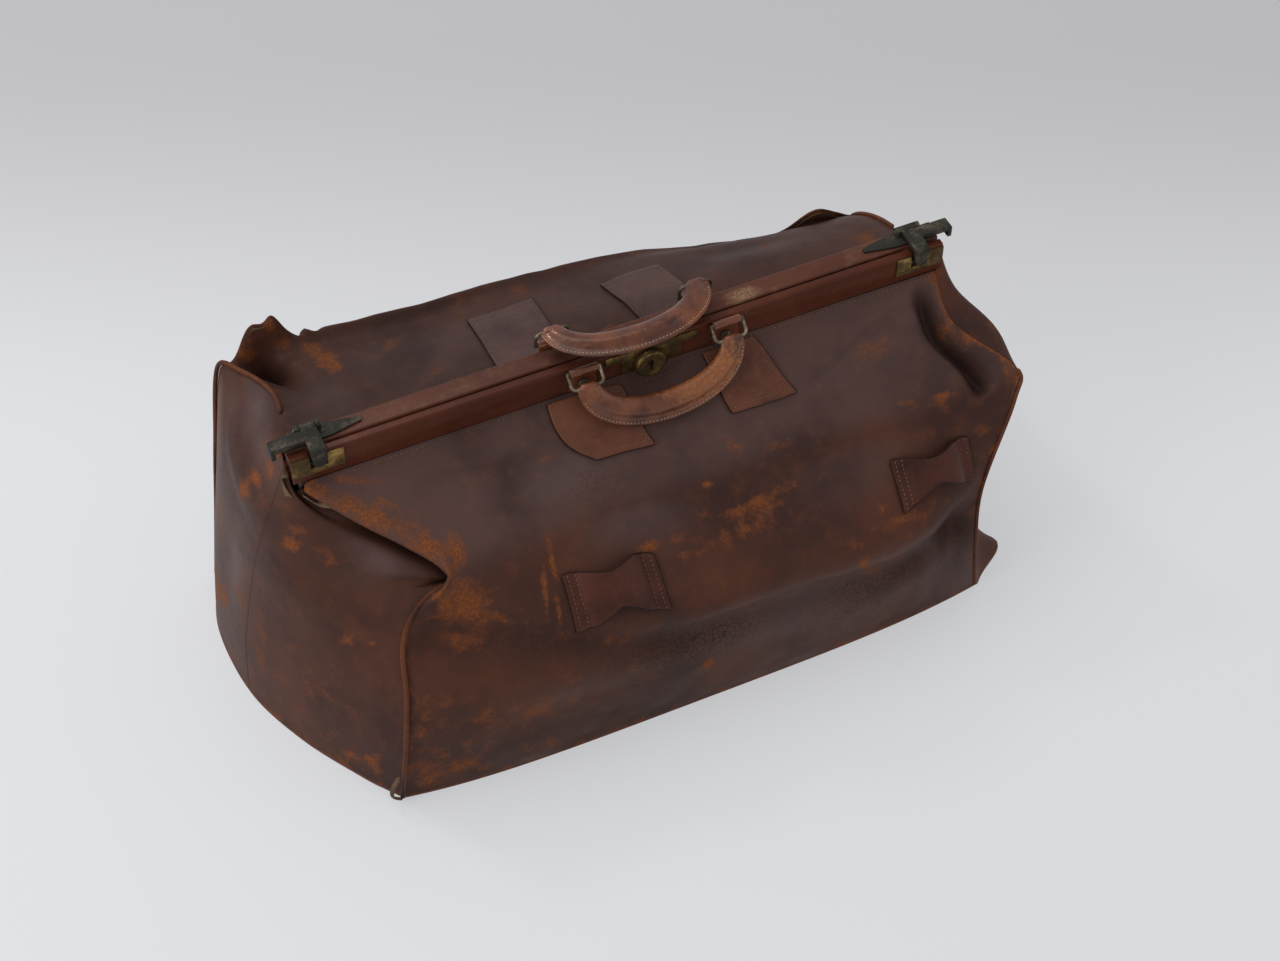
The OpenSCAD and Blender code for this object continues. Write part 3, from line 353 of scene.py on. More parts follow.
def paint(name):
    """A new finish: its material, tree and shader, and places in the object's own coordinates."""
    material = bpy.data.materials.new(name)
    material.use_nodes = True
    tree = material.node_tree
    shader = tree.nodes["Principled BSDF"]
    place = tree.nodes.new("ShaderNodeTexCoord").outputs["Object"]
    return material, tree, shader, place


def feed(tree, socket, value):
    """Link a socket to another, or set it to a number or colour."""
    if isinstance(value, bpy.types.NodeSocket):
        tree.links.new(value, socket)
    else:
        socket.default_value = value


def add(tree, kind, inputs=None, **settings):
    made = tree.nodes.new("ShaderNode" + kind)
    for key, value in settings.items():
        setattr(made, key, value)
    for key, value in (inputs or {}).items():
        feed(tree, made.inputs[key], value)
    return made


def spread(tree, place, scale, detail=4.0, rough=0.55):
    """Soft noise."""
    inputs = {"Vector": place, "Scale": scale, "Detail": detail, "Roughness": rough}
    return add(tree, "TexNoise", inputs).outputs["Fac"]


def ramp(tree, value, low, high):
    return add(
        tree, "MapRange", {"Value": value, "From Min": low, "From Max": high}, interpolation_type="SMOOTHSTEP"
    ).outputs[0]


def maths(tree, operation, a, b):
    made = add(tree, "Math", operation=operation)
    for socket, value in zip(made.inputs, (a, b)):
        feed(tree, socket, value)
    return made.outputs[0]


# sockets of the mix node when it mixes colours
MIX_SHARE, MIX_A, MIX_B, MIX_RESULT = 0, 6, 7, 2


def blend_colour(tree, share, a, b):
    made = add(tree, "Mix", data_type="RGBA")
    for socket, value in ((MIX_SHARE, share), (MIX_A, a), (MIX_B, b)):
        feed(tree, made.inputs[socket], (*value, 1) if isinstance(value, (tuple, list)) else value)
    return made.outputs[MIX_RESULT]


def bumps(tree, shader, layers):
    """Stacked bumps: (height, strength, distance in metres)."""
    normal = None
    for height, strength, distance in layers:
        inputs = {"Height": height, "Strength": strength, "Distance": distance}
        if normal is not None:
            inputs["Normal"] = normal
        normal = add(tree, "Bump", inputs).outputs[0]
    tree.links.new(normal, shader.inputs["Normal"])


def mask(tree, name):
    """A mask painted on a wall's points."""
    return add(tree, "Attribute", attribute_name=name).outputs["Fac"]


# pale grey of the painted sheen on the walls
SHEEN_GREY = (0.125, 0.098, 0.096)
# near-black for painted shade in the walls' folds and hollows, and for random dark clouds on other pieces
SOIL_AND_SHADE = (0.012, 0.008, 0.007)
CRACK = (0.01, 0.006, 0.005)
POLISH_ROUGH = 0.14


def between(a, b, share):
    return mix(np.array(a), np.array(b), share).tolist()


def old_leather(name, dark, red, worn, rough, shine, masked=False, rubbed=None, fine=1.0, polish=0.0):
    """Old leather: mottled brown, rubbed through to tan, with grain, pores and fine cracks.

    Walls take their wear, cracks, painted sheen and painted shade from masks; rubbed gives another piece
    one worn place and its half sizes, in mm; fine makes the clouds and mottling smaller; polish lays a waxed
    shine on top.
    """
    material, tree, shader, place = paint(name)
    clouds = spread(tree, place, 9 * fine, 5)
    mottle = spread(tree, place, 60 * fine, 6, 0.65)
    grain = spread(tree, place, 420, 3, 0.6)
    pores = add(tree, "TexVoronoi", {"Vector": place, "Scale": 520.0}, feature="F1").outputs["Distance"]
    cells = add(tree, "TexVoronoi", {"Vector": place, "Scale": 210.0}, feature="DISTANCE_TO_EDGE")
    crack_lines = ramp(tree, cells.outputs["Distance"], 0.09, 0.0)
    colour = blend_colour(tree, ramp(tree, clouds, 0.3, 0.72), dark, red)
    speckle = maths(tree, "MULTIPLY", ramp(tree, mottle, 0.45, 0.75), 0.4)
    colour = blend_colour(tree, speckle, colour, between(red, worn, 0.22))
    tan = blend_colour(tree, ramp(tree, grain, 0.38, 0.72), between(red, worn, 0.3), worn)
    patchy = maths(tree, "MULTIPLY", maths(tree, "SUBTRACT", mottle, 0.5), 1.7)
    if masked:
        # painted grey sheen where the wall's sheen mask says, broken up by the clouds
        sheen_share = maths(tree, "MULTIPLY", mask(tree, "bloom"), ramp(tree, clouds, 0.2, 0.6))
        colour = blend_colour(tree, maths(tree, "MULTIPLY", sheen_share, 0.62), colour, SHEEN_GREY)
        scuff = ramp(tree, maths(tree, "ADD", mask(tree, "wear"), patchy), 0.24, 0.85)
        soil = mask(tree, "soil")
        cracked = maths(tree, "MULTIPLY", crack_lines, mask(tree, "crackle"))
    else:
        scuff = maths(tree, "MULTIPLY", ramp(tree, mottle, 0.6, 0.82), 0.5)
        if rubbed:
            middle, half = rubbed
            sizes = {"Scale": [1 / (h * MM) for h in half], "Location": [-m / h for m, h in zip(middle, half)]}
            ball = add(tree, "Mapping", {"Vector": place, **sizes}).outputs[0]
            inside = add(tree, "TexGradient", {"Vector": ball}, gradient_type="SPHERICAL").outputs["Color"]
            ragged = maths(tree, "ADD", inside, maths(tree, "MULTIPLY", patchy, 0.5))
            scuff = maths(tree, "MAXIMUM", scuff, ramp(tree, ragged, 0.2, 0.7))
        soil = ramp(tree, clouds, 0.42, 0.2)
        cracked = maths(tree, "MULTIPLY", crack_lines, 0.1)
    colour = blend_colour(tree, maths(tree, "MULTIPLY", scuff, 0.85), colour, tan)
    # darkened by painted shade on the walls, and by random dark clouds on other pieces
    colour = blend_colour(tree, maths(tree, "MULTIPLY", soil, 0.75), colour, SOIL_AND_SHADE)
    colour = blend_colour(tree, maths(tree, "MULTIPLY", cracked, 0.8), colour, CRACK)
    tree.links.new(colour, shader.inputs["Base Color"])
    roughness = maths(tree, "ADD", maths(tree, "MULTIPLY", scuff, 0.22), rough)
    uneven = maths(tree, "MULTIPLY", maths(tree, "SUBTRACT", grain, 0.5), 0.25)
    tree.links.new(maths(tree, "ADD", roughness, uneven), shader.inputs["Roughness"])
    shader.inputs["Specular IOR Level"].default_value = shine
    shader.inputs["Coat Weight"].default_value = polish
    shader.inputs["Coat Roughness"].default_value = POLISH_ROUGH
    layers = [(mottle, 0.3, 0.0012), (cracked, -0.6, 0.0006), (pores, 0.2, 0.0005), (grain, 0.25, 0.0004)]
    bumps(tree, shader, layers)
    return material


# name, dark tone, red tone, tone where worn, roughness, shine
wall_leather = old_leather(
    "wall_leather", (0.042, 0.0185, 0.0145), (0.09, 0.0325, 0.0195), (0.28, 0.078, 0.014), 0.46, 0.1,
    masked=True,
)
jaw_leather = old_leather(
    "jaw_leather", (0.058, 0.0145, 0.007), (0.088, 0.022, 0.01), (0.2, 0.075, 0.03), 0.34, 0.12
)
back_jaw_leather = old_leather(
    "back_jaw_leather", (0.075, 0.024, 0.014), (0.11, 0.036, 0.021), (0.32, 0.2, 0.11), 0.36, 0.14,
    rubbed=((112, 8, 312), (26, 14, 14)),
)
handle_leather = old_leather(
    "handle_leather", (0.056, 0.016, 0.009), (0.19, 0.056, 0.021), (0.36, 0.127, 0.036), 0.19, 0.24,
    rubbed=((56, -36, 284), (62, 40, 40)), fine=3.5, polish=0.35,
)
trim_leather = old_leather(
    "trim_leather", (0.084, 0.029, 0.018), (0.155, 0.052, 0.027), (0.27, 0.092, 0.03), 0.36, 0.17, fine=2.5
)
piping_leather = old_leather(
    "piping_leather", (0.06, 0.021, 0.013), (0.13, 0.042, 0.018), (0.34, 0.1, 0.022), 0.46, 0.1, fine=2
)
keeper_leather = old_leather(
    "keeper_leather", (0.04, 0.0135, 0.0095), (0.08, 0.024, 0.0145), (0.17, 0.055, 0.02), 0.4, 0.14, fine=3
)
shade_leather = old_leather(
    "shade_leather", (0.05, 0.027, 0.024), (0.085, 0.045, 0.038), (0.2, 0.08, 0.03), 0.4, 0.14, fine=2.5
)
# dark paint on cut edges, also used as painted shade inside the keyhole
edge_paint_and_shade = old_leather(
    "edge_paint_and_shade", (0.012, 0.007, 0.005), (0.026, 0.011, 0.007), (0.07, 0.025, 0.012), 0.5, 0.1
)
flesh_leather = old_leather(
    "flesh_leather", (0.12, 0.075, 0.045), (0.17, 0.105, 0.062), (0.24, 0.16, 0.1), 0.75, 0.1
)


def metal(name, tone, dull, rough, share):
    """Old metal, tarnished in clouds from its share upwards."""
    material, tree, shader, place = paint(name)
    clouds = spread(tree, place, 60, 6, 0.6)
    pits = spread(tree, place, 420, 4, 0.6)
    uneven = maths(tree, "ADD", clouds, maths(tree, "MULTIPLY", pits, 0.35))
    tarnish = ramp(tree, uneven, share, share + 0.35)
    tree.links.new(blend_colour(tree, tarnish, tone, dull), shader.inputs["Base Color"])
    roughness = maths(tree, "ADD", maths(tree, "MULTIPLY", tarnish, 0.3), rough)
    tree.links.new(roughness, shader.inputs["Roughness"])
    shader.inputs["Metallic"].default_value = 0.92
    bumps(tree, shader, [(pits, 0.2, 0.0004)])
    return material


brass = metal("brass", (0.33, 0.205, 0.066), (0.085, 0.055, 0.024), 0.32, 0.44)
dark_brass = metal("dark_brass", (0.15, 0.125, 0.085), (0.045, 0.042, 0.035), 0.42, 0.38)
steel = metal("steel", (0.3, 0.29, 0.28), (0.09, 0.07, 0.055), 0.4, 0.5)
ring_wire = metal("ring_wire", (0.31, 0.265, 0.19), (0.1, 0.08, 0.05), 0.33, 0.44)
board = old_leather("board", (0.16, 0.11, 0.07), (0.22, 0.15, 0.09), (0.3, 0.22, 0.14), 0.8, 0.1)
thread = old_leather("thread", (0.35, 0.25, 0.14), (0.46, 0.34, 0.2), (0.55, 0.43, 0.28), 0.7, 0.1)
waxed_thread = old_leather(
    "waxed_thread", (0.11, 0.065, 0.035), (0.24, 0.145, 0.072), (0.42, 0.28, 0.14), 0.6, 0.15
)


# Leather walls


def hang(piece):
    """Bake the piece's place into its points."""
    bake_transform(piece)


def thicken(piece, t=LEATHER_T):
    """Leather of a thickness, inwards, with its flesh side as the second finish."""
    made = piece.modifiers.new("thickness", "SOLIDIFY")
    made.thickness = t * MM
    made.offset = -1
    made.material_offset = 1
    made.material_offset_rim = 0


def ripple(points, seed, size, height):
    """Gentle waves, by place."""
    shift = Vector((seed, seed * 0.7, 0))
    return np.array([noise.fractal(Vector(p) / size + shift, 1.0, 2.0, 3) for p in points]) * height


def front_with_waves(u, v):
    """The front, gently waved away from its edges."""
    p = front_leather_at(u, v)
    calm = ease(v, 0.0, 0.06) * (1 - ease(v, 0.86, 0.98)) * ease(u, 0, 0.03) * (1 - ease(u, 0.97, 1))
    p[:, 1] += ripple(p, 3.1, 95, 3.2) * calm
    p[:, 2] += ripple(p, 7.7, 80, 2.6) * calm
    return p


def back_with_waves(u, v):
    """The back, likewise."""
    p = back_leather_at(u, v)
    calm = ease(v, 0.0, 0.06) * (1 - ease(v, 0.9, 1.0)) * ease(u, 0, 0.03) * (1 - ease(u, 0.97, 1))
    p[:, 1] += ripple(p, 5.3, 95, 3.0) * calm
    p[:, 2] += ripple(p, 1.9, 80, 2.6) * calm * ease(v, 0.1, 0.3)
    return p


def spots(u, v, size, marks):
    """Soft marks on a wall laid flat."""
    across, up = u * size[0], v * size[1]
    total = np.zeros(len(u))
    for x, y, a, b, turn, strength in marks:
        c, s = math.cos(math.radians(turn)), math.sin(math.radians(turn))
        dx, dy = across - x, up - y
        mark = strength * np.exp(-(((dx * c + dy * s) / a) ** 2) - ((dy * c - dx * s) / b) ** 2)
        total = np.maximum(total, mark)
    return total


# Marks on the walls laid flat: place along, place up, half length, half height, turn in degrees, strength

FRONT_WEAR = [
    (48, 199, 44, 19, -49, 0.95), (26, 252, 36, 15, 64, 0.75), (68, 169, 22, 13, -31, 0.6),
    (33, 359, 17, 10, -51, 0.62), (33, 325, 17, 10, -61, 0.55), (57, 320, 10, 9, -67, 0.5),
    (10, 358, 13, 5, -90, 0.5), (210, 184, 14, 6, -14, 0.6), (301, 181, 61, 16, 0, 0.5),
    (261, 232, 8, 4, -36, 0.9), (297, 264, 12, 11, 26, 0.5), (30, 31, 51, 36, -7, 0.6),
    (98, 79, 62, 32, -6, 0.42), (53, 58, 15, 10, -43, 0.5), (434, 107, 29, 7, -54, 0.75),
    (467, 138, 28, 9, -1, 0.55), (443, 154, 18, 5, -16, 0.45), (279, 60, 9, 5, -50, 1.0),
    (471, 308, 37, 14, 27, 0.4), (487, 317, 18, 8, 56, 0.5), (476, 237, 24, 15, 3, 0.4),
    (558, 181, 27, 10, -49, 0.4), (178, 124, 46, 8, -16, 0.4), (330, 246, 37, 17, -12, 0.35),
    (329, 184, 34, 8, 3, 0.45), (130, 85, 49, 18, -15, 0.3), (141, 314, 54, 17, 5, 0.25),
    (125, 207, 32, 3, -67, 0.95), (133, 164, 17, 3, -80, 0.95), (121, 185, 33, 3, -81, 0.7),
    (84, 169, 37, 6, -24, 0.5), (213, 186, 15, 5, -10, 0.9), (318, 191, 52, 8, 2, 0.6),
    (254, 171, 18, 4, -6, 0.5), (295, 261, 7, 6, 4, 0.7), (486, 240, 15, 7, -6, 0.7),
    (454, 247, 13, 5, -5, 0.6), (482, 309, 14, 9, 41, 0.5), (551, 230, 33, 9, -89, 0.6),
    (49, 162, 27, 9, -27, 0.8), (125, 27, 47, 23, -15, 0.4), (18, 97, 30, 20, -79, 0.55),
    (538, 175, 18, 9, -28, 0.5), (460, 141, 23, 6, -1, 0.6), (423, 122, 21, 9, -63, 0.4),
]
# painted grey sheen on the front: broad highlights
FRONT_SHEEN = [
    (154, 290, 83, 41, 12, 0.7), (203, 214, 49, 23, -17, 0.6), (278, 281, 90, 31, 0, 0.5),
    (420, 296, 88, 33, 7, 0.55), (361, 77, 90, 29, 0, 0.6), (546, 35, 49, 37, 44, 0.8),
    (100, 292, 55, 30, 14, 0.5), (403, 189, 55, 23, -6, 0.35),
]
LEFT_WEAR = [
    (251, 223, 17, 10, -66, 0.85), (317, 213, 36, 9, -81, 0.7), (317, 250, 18, 12, -81, 0.6),
    (127, 24, 67, 17, -4, 0.55), (213, 227, 28, 21, -32, 0.42), (237, 254, 39, 9, -34, 0.5),
    (168, 143, 14, 7, -42, 0.6), (127, 153, 14, 4, -11, 0.8), (200, 64, 52, 24, -45, 0.35),
    (351, 38, 86, 16, -39, 0.7), (258, 63, 42, 30, -53, 0.35), (314, 284, 36, 15, -66, 0.5),
]
# painted grey sheen on the left end
LEFT_SHEEN = [
    (378, 256, 50, 23, -27, 0.9), (307, 108, 66, 13, 89, 0.8), (169, 241, 32, 21, -71, 0.7),
    (389, 198, 30, 20, -75, 0.4),
]
BACK_WEAR = [
    (65, 309, 23, 10, -70, 1.0), (65, 274, 24, 12, 85, 0.8), (50, 247, 20, 9, -71, 0.8),
    (44, 222, 18, 5, 73, 0.9), (20, 226, 19, 9, 69, 0.75), (248, 318, 13, 8, -81, 0.7),
    (482, 333, 17, 9, -70, 0.7), (563, 233, 23, 20, -23, 0.8), (169, 382, 81, 12, 3, 0.35),
    (311, 395, 37, 11, 4, 0.4), (569, 375, 17, 10, -72, 0.7), (117, 301, 26, 21, 56, 0.35),
    (422, 300, 56, 27, 9, 0.3), (245, 269, 55, 23, 4, 0.35),
]
# painted grey sheen on the back
BACK_SHEEN = [
    (151, 325, 90, 68, -9, 0.4), (315, 330, 90, 47, 9, 0.35), (443, 358, 67, 32, 8, 0.3),
    (43, 367, 38, 33, 52, 0.4),
]
CREASES = [
    (271, 89, 87, 22, -6, 1.0), (454, 69, 89, 29, -3, 0.8), (117, 142, 54, 10, -12, 0.5),
    (177, 274, 39, 22, 18, 0.4), (261, 103, 30, 18, -18, 1.0),
]


def leather_wall(name, surface, cols, rows, outward, replaced, masks, u_range=(0, 1), gather=0.6):
    """A wall of leather with its masks."""
    bm, u, v, points = surface_grid(surface, cols, rows, u_range, (0, 1), outward, gather)
    piece = new_piece(name, bm, None, [wall_leather, flesh_leather])
    for key, values in masks(u, v, points).items():
        set_mask(piece, key, values)
    thicken(piece)
    hang(piece)
    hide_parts(*replaced)
    return piece


# how far wear reaches from a seam and from the foot, and the width it is measured on
SEAM_WEAR_W = 9
FOOT_WEAR_H = 7
WALL_WEAR_SPAN = 560
END_WEAR_SPAN = 260


def near(distance, reach):
    """1 at a seam or edge, fading away from it."""
    return np.exp(-distance / reach)


def front_masks(u, v, p):
    left_edge = hump(u, lip_share(v) * 0.7, 0.03) * ease(v, 0.5, 0.6)
    right_edge = near(front_leather_at(0 * v + 1, v)[:, 0] - p[:, 0], SEAM_WEAR_W) * ease(v, 0.5, 0.62)
    seams = near(np.minimum(u, 1 - u) * WALL_WEAR_SPAN, SEAM_WEAR_W) * 0.5
    foot = near(p[:, 2], FOOT_WEAR_H) * 0.75
    marks = spots(u, v, FRONT_SIZE, FRONT_WEAR)
    wear = np.maximum.reduce([marks, left_edge * 0.64, right_edge * 0.7, seams, foot])
    # painted shade: darker towards the foot, under the roll of the upper wall and in the pinched fold
    low_shade = (1 - ease(p[:, 2], 40, 120)) * 0.18
    roll = hump(p[:, 2], np.interp(p[:, 0], ROLL_X, ROLL_Z) - 10, 18) * (1 - ease(v, 0.45, 0.52)) * 0.3
    soil = low_shade + roll + 0.55 * pinch_at(u, v)
    # painted grey sheen in marks and over the whole roof
    roof_sheen = np.maximum(spots(u, v, FRONT_SIZE, FRONT_SHEEN), 0.45 * ease(v, 0.55, 0.7))
    return {"wear": wear, "bloom": roof_sheen, "soil": soil, "crackle": spots(u, v, FRONT_SIZE, CREASES)}


def back_masks(u, v, p):
    visible = ease(v, 0.46, 0.54)
    seams = near(np.minimum(u, 1 - u) * WALL_WEAR_SPAN, SEAM_WEAR_W) * 0.5
    ridge = hump(v, 0.5, 0.035) * 0.42 + hump(v, 0.2, 0.05) * 0.25
    foot = near(p[:, 2], FOOT_WEAR_H) * 0.75
    wear = np.maximum.reduce([spots(u, v, BACK_SIZE, BACK_WEAR) * visible, seams, ridge, foot])
    # painted shade in the valley by the crumpled corner and next to the jaw; the roof is darkened as well
    valley = hump(u, 0.035, 0.016) * hump(v, 0.66, 0.07)
    near_jaw = 0.38 * ease(v, 0.5, 0.58) + ease(v, 0.92, 1) * 0.3
    crackle = hump(v, 0.3, 0.1) * 0.5 * hump(u, 0.5, 0.4)
    # painted grey sheen in marks and along the low back
    hidden = (1 - visible) * hump(v, 0.36, 0.1) * 0.6 * (0.6 + 0.4 * np.sin(u * 11))
    bloom = np.maximum(spots(u, v, BACK_SIZE, BACK_SHEEN) * visible, hidden)
    return {"wear": wear, "bloom": bloom, "soil": np.maximum(valley, near_jaw), "crackle": crackle}


def end_edges(c, t, p):
    """Wear at an end wall's foot, seams and top."""
    foot = near(p[:, 2], FOOT_WEAR_H) * 0.8
    seams = near(np.minimum(c, 1 - c) * END_WEAR_SPAN, SEAM_WEAR_W) * 0.55 * (1 - ease(t, 0.6, 0.7))
    return [foot, seams, hump(t, 0.97, 0.05) * 0.3]


def left_masks(c, t, p):
    facing = ease(c, 0.1, 0.2)
    wear = np.maximum.reduce([spots(c, t, END_SIZE, LEFT_WEAR) * facing, *end_edges(c, t, p)])
    # painted grey sheen
    bloom = spots(c, t, END_SIZE, LEFT_SHEEN) * facing
    # painted shade in the pocket under the rolled lip, where no wear shows
    pocket = (1 - ease(c, 0.2, 0.33)) * ease(t, 0.58, 0.66)
    return {"wear": wear * (1 - pocket), "bloom": bloom, "soil": pocket * 0.9, "crackle": 0 * c}


def right_masks(c, t, p):
    crest = hump(t, 0.72, 0.05) * hump(c, 0.2, 0.15) * 0.6
    patchy = hump(t, 0.35, 0.12) * hump(c, 0.6, 0.2) * 0.4
    wear = np.maximum.reduce([*end_edges(c, t, p), crest, patchy])
    # painted grey sheen across the middle
    bloom = hump(t, 0.55, 0.12) * hump(c, 0.5, 0.25) * 0.7
    return {"wear": wear, "bloom": bloom, "soil": 0 * c, "crackle": 0 * c}


END_GATHER = 0.95

leather_wall(
    "front_leather", front_with_waves, 240, 150, 1, ["front_panel", "front_yoke"], front_masks
)
leather_wall("back_leather", back_with_waves, 240, 150, -1, ["back_panel", "back_yoke"], back_masks)
leather_wall(
    "left_end_front", left_end_at, 130, 130, -1, ["left_gusset"],
    left_masks, (0, LEFT_SPLIT), END_GATHER,
)
leather_wall(
    "left_end_back", tucked_under(left_end_at, LEFT_SPLIT, SPLIT_UNDER), 60, 130, -1,
    ["left_gusset"], left_masks, (LEFT_SPLIT - SPLIT_OVERLAP, 1), END_GATHER,
)
leather_wall(
    "right_end_front", right_end_at, 60, 130, 1, ["right_gusset"],
    right_masks, (0, RIGHT_SPLIT), END_GATHER,
)
leather_wall(
    "right_end_back", tucked_under(right_end_at, RIGHT_SPLIT, -SPLIT_UNDER), 60, 130, 1,
    ["right_gusset"], right_masks, (RIGHT_SPLIT - SPLIT_OVERLAP, 1), END_GATHER,
)


def base_at(u, v):
    """The floor of the bag, spanned between the feet of its four walls."""
    zero, across, back = 0 * u, u[:, None], v[:, None]
    corners = [wall(zero + side, zero) for wall in (front_leather_at, back_leather_at) for side in (0, 1)]
    p = mix(front_leather_at(u, zero), back_leather_at(u, zero), back)
    p += mix(left_end_at(v, zero), right_end_at(v, zero), across)
    p -= mix(mix(corners[0], corners[1], across), mix(corners[2], corners[3], across), back)
    p[:, 2] = BASE_LIFT
    return p


bm, *_ = surface_grid(base_at, 120, 60, outward=-1, gather=0.6)
piece = new_piece("base_leather", bm, "bag_body", [trim_leather, flesh_leather])
thicken(piece, BASE_T)
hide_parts("base_panel")


# Trim on the walls

TUBE_END = 0.25
STITCH_LIFT = 0.2
PATCH_T = 2.2
PATCH_GAP = 0.5
CUT_EDGE_R = 0.9
# stitches: pitch, length and width
PATCH_STITCH = (3.6, 2.4, 0.6)
KEEPER_STITCH = (3.8, 2.6, 0.7)
JAW_STITCH = (4.4, 2.9, 0.75)
HANDLE_STITCH = (3.2, 2.2, 0.8)


def normals_of(surface, u, v, side):
    """Ways out of a surface."""
    step = 0.004
    du = surface(np.minimum(u + step, 1), v) - surface(np.maximum(u - step, 0), v)
    dv = surface(u, np.minimum(v + step, 1)) - surface(u, np.maximum(v - step, 0))
    n = np.cross(du, dv)
    return side * n / np.linalg.norm(n, axis=1)[:, None]


def run_of(points):
    """Length run along a path up to each of its points."""
    return np.concatenate([[0], np.cumsum(np.linalg.norm(np.diff(points, axis=0), axis=1))])


def along(points, pitch):
    """Even places along a path, with the way it runs there."""
    run = run_of(points)
    count = max(2, int(run[-1] / pitch) + 1)
    at = np.linspace(0, run[-1], count)
    placed = np.stack([np.interp(at, run, points[:, i]) for i in range(3)], axis=1)
    way = np.gradient(placed, axis=0)
    return placed, way / np.linalg.norm(way, axis=1)[:, None]


def close_up(bm, sides):
    """Join a grid rolled to a tube along its seam and fill its ends."""
    bmesh.ops.remove_doubles(bm, verts=bm.verts, dist=1e-6)
    bmesh.ops.holes_fill(bm, edges=bm.edges, sides=sides + 1)
    bmesh.ops.recalc_face_normals(bm, faces=bm.faces)


def tube(points, radius, sides=10, flat=1.0):
    """A round cord of leather along a path, drawn in at its ends."""
    placed, way = along(points, radius * 1.2)
    up = np.array([0.2, 0.3, 1.0])
    frames = []
    for w in way:
        up = up - w * (up @ w)
        up /= np.linalg.norm(up)
        frames.append((np.cross(w, up), up))
    bm = bmesh.new()
    rows = len(placed) - 1
    bmesh.ops.create_grid(bm, x_segments=sides, y_segments=rows, size=0.5)
    for vert in bm.verts:
        a = 2 * math.pi * (vert.co.x + 0.5)
        k = round((vert.co.y + 0.5) * rows)
        close = TUBE_END if k in (0, rows) else 1
        across, above = frames[k]
        ring = across * math.cos(a) + flat * above * math.sin(a)
        vert.co = Vector(placed[k] + close * radius * ring) * MM
    close_up(bm, sides)
    return bm


def stitches(bm, points, normals, pitch, length, width):
    """A run of thread stitches laid on a path."""
    placed, way = along(points, pitch)
    run = run_of(points)
    at = np.linspace(0, run[-1], len(placed))
    up = np.stack([np.interp(at, run, normals[:, i]) for i in range(3)], axis=1)
    for p, w, n in zip(placed, way, up):
        w, n = Vector(w), Vector(n).normalized()
        side = n.cross(w).normalized()
        turn = Matrix((w * length / 2, side * width / 2, n * width / 2)).transposed().to_4x4()
        place = Matrix.Translation(Vector(p + np.array(n) * STITCH_LIFT) * MM) @ Matrix.Scale(MM, 4) @ turn
        bmesh.ops.create_icosphere(bm, subdivisions=1, radius=1, matrix=place)


def on(surface, side, u, v, lift):
    """Places on a surface, lifted off it."""
    return surface(u, v) + normals_of(surface, u, v, side) * np.reshape(lift, (-1, 1))


def share_at(surface, x, v):
    """Where along a wall a row reaches x."""
    left, right = surface(0 * v, v)[:, 0], surface(0 * v + 1, v)[:, 0]
    return (x - left) / (right - left)


def sewn_piece(name, surface, side, outline, cols, rows, material, replaced, bridge=None):
    """A leather shape sewn on a wall, with a dark cut edge; outline gives x and v for shares across and up.

    It gives back where its own top face lies, for the stitches.
    """

    def laid(lift):
        def at(p, q):
            x, v = outline(p, q)
            return on(surface, side, share_at(surface, x, v), v, lift + (bridge(p) if bridge else 0))

        return at

    top = laid(PATCH_GAP + PATCH_T)
    bm, *_ = surface_grid(top, cols, rows, outward=side)
    piece = new_piece(name, bm, None, material)
    thicken(piece, PATCH_T)
    hang(piece)
    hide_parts(replaced)

    k = np.linspace(0, 1, 50)
    rim = laid(PATCH_GAP + PATCH_T * 0.6)
    sides = [(0 * k, 1 - k), (k, 0 * k), (0 * k + 1, k)]
    if bridge:
        sides.append((1 - k, 0 * k + 1))
    path = np.concatenate([rim(*s) for s in sides])
    cut = new_piece(name + "_edge", tube(path, CUT_EDGE_R, 8), None, edge_paint_and_shade)
    hang(cut)
    return top


def sew(name, bm):
    """Make a piece of a run of stitches."""
    piece = new_piece(name, bm, None, waxed_thread)
    hang(piece)


def patch_outline(top, bottom, v_low, v_high, round_left=0.0):
    """Four-sided, from its x at the top and at the bottom; round_left swells its left edge."""

    def outline(p, q):
        low = mix(bottom[0], bottom[1], p)
        high = mix(top[0], top[1], p)
        x = mix(low, high, q) - round_left * np.sin(np.pi * q) * (1 - p)
        return x, mix(v_low, v_high, q)

    return outline


# a wall's surface, its outer side and the jaw it hangs from
FRONT = (front_with_waves, 1, "front_jaw")
BACK = (back_with_waves, -1, "back_jaw")
PATCHES = [
    ("front_left_patch", FRONT, patch_outline((-72, -8), (-38, 11), 0.775, 0.975, 9), trim_leather),
    ("front_right_patch", FRONT, patch_outline((66, 112), (80, 137), 0.785, 0.975), trim_leather),
    ("back_left_patch", BACK, patch_outline((-96, -36), (-92, -33), 0.735, 0.965), shade_leather),
    ("back_right_patch", BACK, patch_outline((34, 88), (25, 78), 0.765, 0.965), shade_leather),
]
PATCH_MIDDLE = np.array([0.5]), np.array([0.85])
for name, (surface, side, body), outline, leather in PATCHES:
    top = sewn_piece(name, surface, side, outline, 40, 32, leather, name)
    out = normals_of(surface, *PATCH_MIDDLE, side)
    k = np.linspace(0.06, 0.94, 40)
    low = 0 * k + 0.08
    bm = bmesh.new()
    for p, q in ((k, low), (low, k), (1 - low, k)):
        stitches(bm, top(p, q), np.tile(out, (len(k), 1)), *PATCH_STITCH)
    sew(name + "_thread", bm)

# how far a worn keeper's long edges are pulled up, in its own heights, by share along it
KEEPER_SHARES = (0, 0.25, 0.5, 0.75, 1)
KEEPER_LOW = (0.05, 0.14, 0.25, 0.09, 0)
KEEPER_HIGH = (0.1, 0.1, 0.08, 0.06, -0.16)


